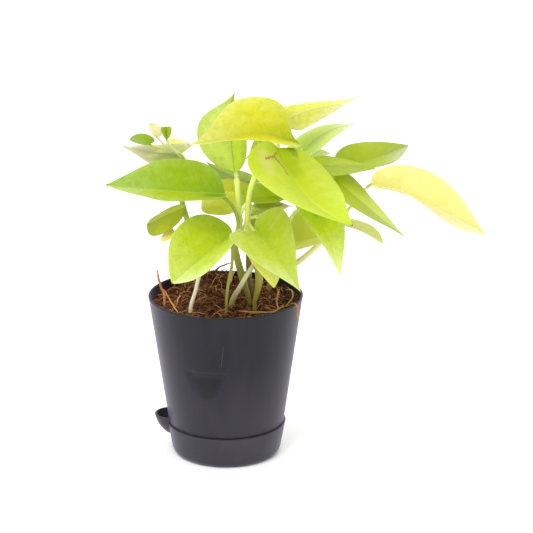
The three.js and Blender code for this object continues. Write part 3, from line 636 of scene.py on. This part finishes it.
def stalk_path(leaf, path):
    """The curve of a leaf's stalk, from the stem to the underside of its blade."""
    size = SMALL_SHARE if blade_axes(leaf)[0] < SMALL_LEAF else 1
    _, direction, normal = (a[0] for a in midrib(leaf, np.zeros(1)))
    seat = np.array(leaf["base"]) + direction * SEAT * size - normal * (0.6 + STALK_RADIUS * size)
    index = leaf["at"] * (len(path) - 1)
    low = min(int(index), len(path) - 2)
    root = path[low] + (path[low + 1] - path[low]) * (index - low)
    tangent = unit(path[low + 1] - path[low])
    reach = np.linalg.norm(seat - root)
    if "bend" in leaf:
        first, second = (np.array(p, float) for p in leaf["bend"])
    else:
        first = root + tangent * 0.35 * reach
        second = seat - direction * 0.3 * reach - np.array([0, 0, 0.15 * reach])
    s = np.linspace(0, 1, 40)[:, None]
    curve = cubic(root, first, second, seat, s)
    on = seat + np.outer(np.linspace(0.5, 5, 5) * size, direction)
    on += np.outer(np.linspace(0.05, 0.7, 5), normal)
    return np.vstack([curve, on]), size


def stem_mesh(name, material):
    """A stem with a ring at each joint, and the stalks of its leaves."""
    radius, shape, colors, points = STEMS[name]
    foot, middle, top = colors.split()
    path = smooth_path(points, 160)
    run = np.linspace(0, 1, len(path))
    leaves = [leaf for leaf in LEAVES.values() if leaf["stem"] == name]
    radii = radius * np.interp(run, STEM_STATIONS, shape)
    radii += 0.03 * radius * np.sin(23 * run + radius * 9)
    for leaf in leaves:
        radii += 0.3 * np.exp(-((run - leaf["at"]) / 0.014) ** 2)
    radii[-3:] *= [0.97, 0.85, 0.5]
    sides, stalk_sides = 16, 10
    bundle = Bundle()
    tints = blend([(0.17, foot), (0.42, middle), (0.95, top)], np.repeat(run, sides))
    bundle.add(*tube(path, radii, sides), tints)
    for leaf in leaves:
        curve, size = stalk_path(leaf, path)
        s = np.linspace(0, 1, len(curve))
        r = 1.25 * STALK_RADIUS * size * (1 + 0.3 * np.exp(-(s / 0.12) ** 2)
                                   + 0.12 * np.exp(-((s - 0.86) / 0.05) ** 2))
        r *= np.interp(s, [0.3, 0.5], [leaf.get("sheath", 1), 1])
        r[-5:] *= np.linspace(0.95, 0.25, 5)
        start, end = leaf.get("stalk", f"{top} {top}").split()
        tints = blend([(0, start), (1, end)], np.repeat(s, stalk_sides))
        bundle.add(*tube(curve, r, stalk_sides), tints)
    return bundle.object(f"rooted_stem_{name}", material)


def ring_faces(rings, sides, flip=False):
    """Faces of a stack of rings of points, closed by the two points that follow the rings."""
    first, last, top = rings * sides, rings * sides + 1, (rings - 1) * sides
    faces = []
    for j in range(sides):
        a, b = j, (j + 1) % sides
        if flip:
            a, b = b, a
        faces.append((first, b, a))
        for low in range(0, top, sides):
            faces.append((low + a, low + b, low + sides + b, low + sides + a))
        faces.append((top + a, top + b, last))
    return faces


def lathe(name, profile, material, sides=192, x=0.0):
    """A body of revolution from [radius, height] points, first and last on the axis."""
    inner = np.array(profile[1:-1], float)
    angle = np.linspace(0, 2 * np.pi, sides, endpoint=False)
    ring = np.stack([np.outer(inner[:, 0], np.cos(angle)) + x,
                     np.outer(inner[:, 0], np.sin(angle)),
                     np.repeat(inner[:, 1:], sides, axis=1)], 2).reshape(-1, 3)
    points = np.vstack([ring, [[x, 0, profile[0][1]], [x, 0, profile[-1][1]]]])
    return make_object(name, points, ring_faces(len(inner), sides), material)


def combine(base, operation, *others):
    """Adds other solids to a solid or cuts them from it."""
    for other in others:
        modifier = base.modifiers.new("combine", "BOOLEAN")
        modifier.operation = operation
        modifier.solver = "EXACT"
        modifier.object = other
    bpy.context.view_layer.update()
    mesh = bpy.data.meshes.new_from_object(
        base.evaluated_get(bpy.context.evaluated_depsgraph_get()))
    base.modifiers.clear()
    base.data = mesh
    for other in others:
        bpy.data.objects.remove(other)
    mesh.shade_smooth()
    mesh.set_sharp_from_angle(angle=math.radians(35))
    return base


def arc(center, radius, start, end, count):
    """Points of an arc in a profile, angles in degrees."""
    return [(center[0] + radius * math.cos(a), center[1] + radius * math.sin(a))
            for a in np.radians(np.linspace(start, end, count))]


def rounded_top(radius, height, lip=0.5):
    """The end of a profile: up its side, over a rounded edge and back to the axis."""
    return [(radius, height - lip), *arc((radius - lip, height - lip), lip, 20, 90, 4), (0, height)]


def plastic(name, code, roughness, scratch_and_dent_shade=False):
    """Satin moulded plastic: a fine grain, faint flow marks, a little dust and a paler foot. On the
    pot it also has the pot's scratch and painted shade in its dent."""
    n = Nodes(name)
    where = n.place()
    grain = n.noise(where, 2600, 2)
    flow = n.noise(n.stretch(where, 60, 60, 16), 1, 4, 0.55)
    dust = n.noise(where, 190, 5, 0.7)
    height = n.times(n.split(where)[2], 1 / (POT_HEIGHT * MM))
    light = [min(1, c * 1.6 + 0.004) for c in linear(code)]
    color = n.wash(
        code, (flow, light, (0.35, 0), (0.75, 0.6)), (dust, DUST, (0.62, 0), (0.8, 0.05)),
        (height, DUST, (0.25, 0.06), (0.75, 0)))
    if scratch_and_dent_shade:
        # painted shade in the dent's hollow, darker than the plastic around it
        color = n.mix(dent_shade(n, where), color, PAINTED_DENT_SHADE)
        color = n.mix(scratch_mark(n, where), color, SCRATCH_EDGE)
    rough = n.math("MULTIPLY_ADD", flow, 0.06, roughness - 0.03)
    normal = n.bump(grain, 0.12, 0.0002, n.bump(flow, 0.05, 0.0006))
    return n.finish(n.principled(base_color=color, roughness=rough, normal=normal,
                                 specular_ior_level=0.24, sheen_weight=0.26,
                                 sheen_roughness=0.35, sheen_tint=(0.72, 0.62, 1, 1)))


def dent_shade(n, where):
    """How much painted shade in the dent's hollow shows at a place in metres."""
    x_middle, top, low, half, _ = DENT
    x, y, z = n.split(where)
    reach = n.math("DIVIDE", n.minus(z, low * MM), (top - low) * MM)
    wide = n.times(n.math("SQRT", reach), half * MM)
    inside = n.times(n.minus(wide, n.apart(x, x_middle * MM)), 1000 / half)
    shade = n.times(n.ramp(inside, (0, 0), (0.35, 0.9)),
                    n.ramp(reach, (0, 0), (0.2, 0.8), (0.75, 1), (0.92, 0)))
    return n.times(shade, n.times(n.math("LESS_THAN", y, 0), 0.75))


def scratch_mark(n, where):
    """How much of the scratch above the dent shows at a place in metres."""
    (x_top, z_top), (x_low, z_low) = SCRATCH
    x, y, z = n.split(where)
    slope = (x_top - x_low) / (z_top - z_low)
    line = n.math("MULTIPLY_ADD", z, slope, (x_low - slope * z_low) * MM)
    height = n.math("DIVIDE", n.minus(z, z_low * MM), (z_top - z_low) * MM)
    mark = n.times(n.ramp(n.times(n.apart(x, line), 1000), (0.1, 0.16), (0.35, 0)),
                   n.ramp(height, (0, 0), (0.12, 1), (0.85, 0.7), (1, 0)))
    return n.times(mark, n.math("LESS_THAN", y, 0))


def leaf_material(name, leaf):
    """A waxy blade: deeper at the stalk and between the veins, paler at the tip, the edge and
    the veins, dull underneath, with light coming through."""
    n = Nodes(name)
    flat = n.uv("Flat")
    across, t, _ = n.split(n.uv("Vein"))
    v = n.times(n.apart(across, 0.5), 2)
    from_rib = n.times(n.apart(n.split(flat)[1], MAP_MIDDLE), MAP_UNIT)
    under = n.attribute("under")
    main, deep, pale = leaf["shades"].split()
    cloud = n.noise(n.stretch(flat, 1, 1.6), 5.5, 4, 0.55)
    drift = n.math("MULTIPLY_ADD", n.minus(cloud, 0.5), 0.5, t)
    bent = n.minus(t, n.times(n.math("POWER", v, VEIN_BEND), VEIN_SWEEP))
    along = n.add("ShaderNodeCombineXYZ", {0: n.times(bent, 26), 1: n.times(across, 5)})
    streak = n.noise(along.outputs[0], 1, 4, 0.6)
    fine = n.noise(n.stretch(flat, 1, 1.5), 70, 4, 0.65)
    mottle = n.noise(flat, 19, 4, 0.6, 0.4)
    color = n.wash(
        main, (drift, deep, (0.05, 0.95), (0.5, 0)), (drift, pale, (0.5, 0), (0.95, 0.9)),
        (v, pale, (0.6, 0), (1, 0.3)), (streak, deep, (0.4, 0.16), (0.6, 0)),
        (mottle, deep, (0.48, 0), (0.72, 0.36)), (mottle, pale, (0.28, 0.34), (0.5, 0)),
        (fine, pale, (0.5, 0), (0.75, 0.35)))
    # patches: some are the blade's own tone, some are painted shadow
    for *spot, code in leaf.get("patches", []):
        color = n.mix(patch(n, flat, *spot), color, code)
    beat = n.apart(n.math("FRACT", n.times(bent, VEINS)), 0.5)
    veins = n.times(n.ramp(beat, (0, 1), (0.06, 0)), n.ramp(v, (0.05, 0.8), (0.92, 0)))
    rib = n.ramp(from_rib, (0.2, 1), (0.9, 0))
    color = n.mix(n.times(veins, 0.12), color, pale)
    color = n.mix(n.times(rib, leaf.get("rib", 0.3)), color, pale)
    color = n.wash(color, (v, pale, (0.965, 0), (1, 0.55)), (t, DRY_TIP, (0.984, 0), (1, 0.9)))
    # a tint over each half: partly its own tone, partly painted light and shade where that half
    # turns towards or away from the light
    sides = n.mix(n.ramp(across, (0.485, 0), (0.515, 1)), leaf.get("left", "ffffff"),
                  leaf.get("right", "ffffff"))
    color = n.mix(1, color, sides, "MULTIPLY")
    # painted glints: pale specks standing in for highlights on the waxy surface towards the tip and
    # edges
    if "specks" in leaf:
        glint_spots = n.noise(n.stretch(flat, 1, 1.2), 38, 2, 0.5)
        where = n.times(n.ramp(t, (0.45, 0), (0.8, 1)), n.ramp(v, (0.3, 0.1), (0.9, 1)))
        glint_spots = n.times(n.ramp(glint_spots, (0.63, 0), (0.68, 1)), where)
        color = n.mix(n.times(glint_spots, leaf["specks"]), color, PAINTED_GLINTS)
    for ends in leaf.get("cracks", []):
        color = n.mix(crack(n, flat, *ends), color, DRY_CRACK)
    color = n.mix(under, color, n.mix(0.45, color, leaf.get("under", DULL_UNDERSIDE)))
    rough = n.math("MULTIPLY_ADD", under, 0.2, n.math("MULTIPLY_ADD", fine, 0.14, 0.3))
    height = n.math("ADD", n.times(streak, 0.8), n.times(fine, 0.2))
    normal = n.bump(n.minus(height, n.times(veins, 0.35)), 0.3, 0.0004)
    shine = n.principled(base_color=color, roughness=rough, normal=normal,
                         specular_ior_level=0.16)
    glow = n.mix(0.5, color, color, "MULTIPLY")
    through = n.add("ShaderNodeBsdfTranslucent", {"Color": glow, "Normal": normal}).outputs[0]
    return n.finish(n.add("ShaderNodeMixShader", {0: 0.4, 1: shine, 2: through}).outputs[0])


def on_map(x, y):
    """Where a place in millimetres on the flat blade lies in its flat map."""
    return np.array([x / MAP_UNIT, y / MAP_UNIT + MAP_MIDDLE, 0])


def patch(n, flat, x, y, length, width, strength):
    """How much of a soft patch centred on x, y, in millimetres on the flat blade, shows."""
    offset = n.vector("SUBTRACT", flat, tuple(on_map(x, y)))[0]
    reach = n.vector("LENGTH", n.stretch(offset, MAP_UNIT / length, MAP_UNIT / width))["Value"]
    rough = n.math("MULTIPLY_ADD", n.noise(flat, 14, 4, 0.6), 0.5, reach)
    return n.ramp(rough, (0.5, strength), (1.2, 0))


def crack(n, flat, start, end, width):
    """How much of a dry crack from start to end, in millimetres on the flat blade, shows."""
    wobble = n.add("ShaderNodeTexNoise", {"Vector": flat, "Scale": 60, "Detail": 3}).outputs[1]
    wobble = n.vector("SUBTRACT", wobble, (0.5, 0.5, 0.5))[0]
    place = n.vector("MULTIPLY_ADD", wobble, (0.045, 0.045, 0), flat)[0]
    step = on_map(*end) - on_map(*start)
    offset = n.vector("SUBTRACT", place, tuple(on_map(*start)))[0]
    reach = n.vector("DOT_PRODUCT", offset, tuple(step / (step @ step)))["Value"]
    share = n.math("MULTIPLY", reach, 1, clamp=True)
    nearest = n.add("ShaderNodeVectorMath", {0: tuple(step), "Scale": share}, operation="SCALE")
    gap = n.vector("DISTANCE", offset, nearest.outputs[0])["Value"]
    return n.ramp(n.times(gap, MAP_UNIT / width), (0.3, 0.9), (1, 0))


def stem_material(name):
    """Plant skin over the stem's own colour: fine lengthwise streaks and small scars."""
    n = Nodes(name)
    run = n.uv("Run")
    streak = n.noise(n.stretch(run, 14, 3), 6, 4, 0.6)
    speck = n.noise(n.stretch(run, 3, 12), 14, 3, 0.6)
    color = n.attribute("tint", "Color")
    light, dark = n.mix(0.38, color, SKIN_STREAK), n.mix(0.5, color, SKIN_SCAR)
    color = n.wash(color, (streak, light, (0.5, 0), (0.72, 0.6)),
                   (streak, dark, (0.3, 0.5), (0.45, 0)), (speck, dark, (0.6, 0), (0.75, 0.4)))
    return n.finish(n.principled(base_color=color, roughness=0.42, specular_ior_level=0.4,
                                 normal=n.bump(streak, 0.3, 0.0003)))


def fibre_material(name):
    """Coir: each fibre or crumb has its own colour, darker where it is dirty."""
    n = Nodes(name)
    grain = n.noise(n.place(), 900, 4, 0.7)
    color = n.wash(n.attribute("tint", "Color"), (grain, COIR_DIRT, (0.4, 0), (0.75, 0.5)))
    return n.finish(n.principled(base_color=color, roughness=0.75, specular_ior_level=0.25,
                                 normal=n.bump(grain, 0.5, 0.0004)))


def soil_height(x, y):
    """The height of the mound of soil."""
    spread = np.hypot(x - 2, y - 6) / SOIL_MOUND_SPREAD
    lumps = 0.9 * np.sin(x / 5.3 + 1) * np.cos(y / 4.7) + 0.7 * np.sin((x + y) / 3.1)
    edge = 1 - np.minimum(1, np.hypot(x, y) / RIM_RADIUS) ** 6
    return SOIL_EDGE + SOIL_MOUND * np.exp(-spread ** 2) + lumps * edge


def pot_inside(height):
    """Inner radius of the pot at a height."""
    return RIM_RADIUS - POT_WALL - (POT_HEIGHT - height) * POT_FLARE


def ease(value, low, high):
    """A smooth step from 0 at low to 1 at high."""
    share = min(1, max(0, (value - low) / (high - low)))
    return share * share * (3 - 2 * share)


def press_dent(pot):
    """Presses a shallow dent into the pot's front: straight along its top, pointed below."""
    x_middle, top, low, half, depth = DENT
    for vertex in pot.data.vertices:
        x, y, z = vertex.co / MM
        out = math.hypot(x, y)
        if y > 0 or not low < z < top + 1 or out < pot_inside(z) + POT_WALL / 2:
            continue
        reach = (z - low) / (top - low)
        side = half * max(0, reach) ** 0.5 - abs(x - x_middle)
        press = depth * ease(side, -2, 3) * ease(top + 1 - z, 0, 1.6) * ease(reach, 0, 0.5)
        vertex.co.x *= 1 - press / out
        vertex.co.y *= 1 - press / out


def build_pot():
    """The pot: a thin tapered shell with a rounded rim, a hollow foot and six drain holes."""
    shoulder = SAUCER_HEIGHT + 0.3
    skirt = POT_BELT_RADIUS - 1
    rim = RIM_RADIUS - POT_WALL / 2
    low = SAUCER_FLOOR + 0.3
    profile = [(0, low), (FOOT_RADIUS - 1.5, low), (FOOT_RADIUS - 1, low + 0.4),
               (FOOT_RADIUS, POT_FLOOR), (skirt - 5, POT_FLOOR), (skirt - 4, POT_FLOOR + 0.4),
               (skirt - 3.6, POT_FLOOR + 1.5), (skirt, shoulder),
               (POT_BELT_RADIUS - 0.3, shoulder), (POT_BELT_RADIUS, shoulder + 0.35)]
    for share in np.linspace(0.03, 0.98, 80):
        profile.append((POT_BELT_RADIUS + share * (RIM_RADIUS - POT_BELT_RADIUS),
                        shoulder + share * (POT_HEIGHT - shoulder)))
    profile += arc((rim, POT_HEIGHT - POT_WALL / 2), POT_WALL / 2, 0, 180, 9)
    profile += [(POT_BELT_RADIUS - POT_WALL, shoulder + 1), (skirt - POT_WALL, shoulder - 1),
                (skirt - 6, POT_FLOOR + POT_WALL), (FOOT_RADIUS - POT_WALL, POT_FLOOR + POT_WALL),
                (FOOT_RADIUS - 2.3, low + POT_WALL), (0, low + POT_WALL)]
    pot = lathe("pot_shell", profile, plastic("pot_plastic", "16141c", 0.42, scratch_and_dent_shade=True), 256)
    press_dent(pot)
    drains = []
    below, above = POT_FLOOR - 3, POT_FLOOR + 5
    hole = [(0, below), (DRAIN_HOLE, below), (DRAIN_HOLE, above), (0, above)]
    for i in range(6):
        angle = (i + 0.5) * math.pi / 3
        drain = lathe(f"drain_{i}", hole, pot.data.materials[0], 24)
        drain.location = (DRAIN_RING * math.cos(angle) * MM, DRAIN_RING * math.sin(angle) * MM, 0)
        drains.append(drain)
    return combine(pot, "DIFFERENCE", *drains)


def build_saucer():
    """The saucer: a round tray with the cup of the filling spout on its left edge."""
    material = plastic("saucer_plastic", "25232a", 0.4)
    fillet = arc((SAUCER_LOW_RADIUS - SAUCER_FILLET, SAUCER_FILLET), SAUCER_FILLET, -90, -6, 10)
    tray = lathe("saucer_tray", [
        (0, 0), *fillet, *rounded_top(SAUCER_RADIUS, SAUCER_HEIGHT)], material)
    low = SPOUT_BOTTOM
    shares = [(0, 0), (0.12, 0.15), (0.25, 0.6), (0.39, 1.9), (0.52, 3.5), (0.66, 5.6), (0.79, 8),
              (0.87, 10), (0.93, 12)]
    cup = lathe("spout", [*[(SPOUT_RADIUS * r, low + z) for r, z in shares],
                          *rounded_top(SPOUT_RADIUS, SPOUT_TOP)], material, 96, SPOUT_X)
    inside = SAUCER_RADIUS - SAUCER_WALL
    low_inside = SAUCER_LOW_RADIUS - SAUCER_WALL
    above = POT_BELT_RADIUS + 0.3
    top = SPOUT_TOP + 3
    hollow = lathe("tray_hollow", [
        (0, SAUCER_FLOOR), (low_inside - 3.4, SAUCER_FLOOR), (low_inside - 1.2, SAUCER_FLOOR + 0.7),
        (low_inside, SAUCER_FLOOR + 2.5), (inside, SAUCER_HEIGHT - 0.4),
        (inside, SAUCER_HEIGHT + 0.01), (above, SAUCER_HEIGHT + 0.02),
        (above + POT_FLARE * (top - SAUCER_HEIGHT), top), (0, top)], material)
    bore = SPOUT_RADIUS - SPOUT_WALL
    shares = [(0, 2.2), (0.12, 2.35), (0.23, 2.8), (0.36, 3.8), (0.47, 5), (0.64, 6.7), (0.79, 8.5),
              (0.86, 10.2), (0.92, 12), (1, SPOUT_TOP - low), (1, SPOUT_TOP - low + 1),
              (0, SPOUT_TOP - low + 1)]
    pocket = lathe("spout_pocket", [(bore * r, low + z) for r, z in shares], material, 96, SPOUT_X)
    combine(tray, "UNION", cup)
    return combine(tray, "DIFFERENCE", hollow, pocket)


def coir_tint(brightness):
    """Coir from nearly black through red-brown to straw, for a number from 0 to 1."""
    return blend(COIR_SHADES, np.atleast_1d(brightness))


def soil_top(x, y):
    """The loose top of the coir: the level bed and a heap of fibres near the back of the rim."""
    x_middle, y_middle, x_spread, y_spread, height = HEAP
    heap = height * np.exp(-((x - x_middle) / x_spread) ** 2 - ((y - y_middle) / y_spread) ** 2)
    inside = 1 - np.minimum(1, np.hypot(x, y) / (RIM_RADIUS - 2)) ** 14
    return soil_height(x, y) + heap * inside


def build_bed(coir, outer):
    """The bed of coir dust, rough on top, with two rings lower down and a middle at each end."""
    radius = np.linspace(0, 1, BED_RINGS + 1)[1:] ** 0.8
    angle = np.linspace(0, 2 * np.pi, BED_SPOKES, endpoint=False)
    x = np.outer(radius * outer, np.cos(angle)).ravel()
    y = np.outer(radius * outer, np.sin(angle)).ravel()
    rough = RNG.normal(0, 0.5, len(x)) * (1 - np.repeat(radius, BED_SPOKES) ** 8)
    rough += 0.9 * np.sin(x / 2.1 + 2 * np.sin(y / 3)) * np.sin(y / 1.7)
    layers = [np.stack([x, y, soil_top(x, y) - 1.4 + rough], 1)]
    belt, floor = SAUCER_HEIGHT + 6, POT_FLOOR + POT_WALL + 1
    for r, height in ((pot_inside(belt) - 0.6, belt), (POT_BELT_RADIUS - 8, floor)):
        layers.append(np.stack([r * np.cos(angle), r * np.sin(angle),
                                np.full(BED_SPOKES, height)], 1))
    points = np.vstack([*layers, [[0, 0, soil_height(0, 0) - 1.2]], [[0, 0, floor]]])
    tint = coir_tint(0.04 + 0.36 * RNG.random(len(points)) ** 2)
    return make_object("soil_bed", points, ring_faces(BED_RINGS + 2, BED_SPOKES, flip=True), coir,
                       tints={"tint": tint}, sharp=180)


def scatter(outer):
    """A random place on the bed."""
    r = (outer - 1.5) * math.sqrt(RNG.random())
    a = RNG.random() * 2 * math.pi
    return np.array([r * math.cos(a), r * math.sin(a)])


def add_fibres(bundle, outer):
    """Curled fibres that lie on the bed, and longer stray ones that stand out of it."""
    for _ in range(FIBRES):
        p = scatter(outer)
        heading = RNG.random() * 2 * math.pi
        stray = RNG.random() < STRAY_SHARE
        steps, lengths, arches, widths, sides = STRAY_FIBRE if stray else SHORT_FIBRE
        length = RNG.uniform(*lengths)
        bend = RNG.normal(0, 0.2)
        arch = RNG.uniform(*arches)
        slope = RNG.normal(0, 0.25)
        path = []
        for s in np.linspace(0, 1, steps):
            p = p + length / steps * np.array([math.cos(heading), math.sin(heading)])
            heading += bend + RNG.normal(0, 0.25)
            if np.hypot(*p) > outer - 0.8:
                p *= (outer - 0.8) / np.hypot(*p)
            z = soil_top(*p) - 0.7 + arch * math.sin(math.pi * s) + slope * length * (s - 0.4)
            path.append((*p, z + RNG.normal(0, 0.15)))
        width = RNG.uniform(*widths)
        shape = width * np.interp(np.linspace(0, 1, steps), [0, 0.2, 0.7, 1], [0.5, 1, 0.9, 0.35])
        bright = RNG.uniform(0.45, 1.0) if stray else 0.1 + 0.85 * RNG.random() ** 1.7
        bundle.add(*tube(path, shape, sides), coir_tint(bright))


def add_crumbs(bundle, outer):
    """Crumbs of coir: uneven lumps with six corners."""
    corners = np.kron(np.eye(3), [[1], [-1]])
    sides = [(0, 2, 4), (2, 1, 4), (1, 3, 4), (3, 0, 4), (2, 0, 5), (1, 2, 5), (3, 1, 5), (0, 3, 5)]
    for _ in range(CRUMBS):
        x, y = scatter(outer)
        size = RNG.uniform(0.3, 1.3)
        turn = np.linalg.qr(RNG.normal(size=(3, 3)))[0]
        turn *= np.sign(np.linalg.det(turn))
        crumb = corners * RNG.uniform(0.5, 1.1, (6, 1)) * size @ turn
        bundle.add(crumb + [x, y, soil_top(x, y) - 0.7 + 0.3 * size], sides,
                   np.zeros((6, 2)), coir_tint(0.06 + RNG.random() * 0.54))


def add_strands(bundle):
    """Long loose strands with a slight wobble."""
    steps = 50
    for path, thick, code in STRANDS:
        curve = smooth_path(path, steps)
        curve[:, :2] += 0.12 * np.sin(np.outer(np.arange(steps), [0.45, 0.35]))
        radii = thick * np.interp(np.linspace(0, 1, steps), [0, 0.15, 0.8, 1], [0.6, 1, 0.85, 0.4])
        bundle.add(*tube(curve, radii, 8), np.array(linear(code)))


def build_soil():
    """The bed of coir with its fibres and crumbs, and a few long strands."""
    coir = fibre_material("coir_fibre")
    outer = pot_inside(SOIL_EDGE) - 0.4
    piece(build_bed(coir, outer), "coir_soil", "soil")
    loose, strands = Bundle(), Bundle()
    add_fibres(loose, outer)
    add_crumbs(loose, outer)
    piece(loose.object("coir_fibres", coir), "coir_soil")
    add_strands(strands)
    piece(strands.object("coir_strands", coir), "coir_soil")


def build_plant():
    """The rooted stems, and a blade for each leaf."""
    skin = stem_material("stem_skin")
    for name in STEMS:
        piece(stem_mesh(name, skin), "stem_skin", f"stem_{name}")
    for name, leaf in LEAVES.items():
        blade = blade_mesh(f"blade_of_{name}", leaf, leaf_material(f"blade_{name}", leaf))
        piece(blade, f"blade_{name}", f"leaf_{name}")


def area_light(name, place, target, size, power):
    """A square light at a place in metres, turned towards a target."""
    light = bpy.data.lights.new(name, "AREA")
    light.shape = "RECTANGLE"
    light.size = size
    light.size_y = size
    light.energy = power
    lamp = bpy.data.objects.new(name, light)
    bpy.context.scene.collection.objects.link(lamp)
    lamp.location = place
    direction = np.subtract(place, target)
    lamp.rotation_euler = (math.atan2(np.hypot(direction[0], direction[1]), direction[2]), 0,
                           math.atan2(direction[0], -direction[1]))


def build_studio():
    """A pale floor, soft light from all round, a large light above the front left and one
    above the back right."""
    world = bpy.data.worlds.new("studio")
    world.use_nodes = True
    background = world.node_tree.nodes["Background"]
    background.inputs["Color"].default_value = (1, 1, 1, 1)
    background.inputs["Strength"].default_value = 1.0
    bpy.context.scene.world = world
    n = Nodes("floor_paper")
    tone = n.mix(n.noise(n.place(), 30, 3), "fbfbfb", "ffffff")
    paper = n.finish(n.principled(base_color=tone, roughness=0.9, specular_ior_level=0.1))
    far, low = 9000, -0.2
    corners = [(-far, -far, low), (far, -far, low), (far, far, low), (-far, far, low)]
    floor = make_object("floor", corners, [(0, 1, 2, 3)], paper)
    area_light("key", (-0.5, -0.8, 1.3), (0.03, 0, 0.15), 0.9, 14)
    area_light("back", (0.5, 0.9, 1.2), (0.03, 0, 0.18), 0.9, 9)


def build_camera():
    """A long lens in front of the pot, above it and looking slightly down."""
    data = bpy.data.cameras.new("camera")
    data.sensor_width = 36
    data.lens = 140
    data.clip_start = 0.05
    data.clip_end = 50
    camera = bpy.data.objects.new("camera", data)
    camera.location = (0.029, -1.4, 0.5783)
    pitch = 17.45
    camera.rotation_euler = (math.radians(90 - pitch), 0, 0)
    bpy.context.scene.collection.objects.link(camera)
    bpy.context.scene.camera = camera


build_camera()
build_studio()
piece(build_saucer(), "saucer_plastic", "saucer")
piece(build_pot(), "pot_plastic", "pot")
build_soil()
build_plant()
bpy.context.scene.view_settings.view_transform = "Standard"
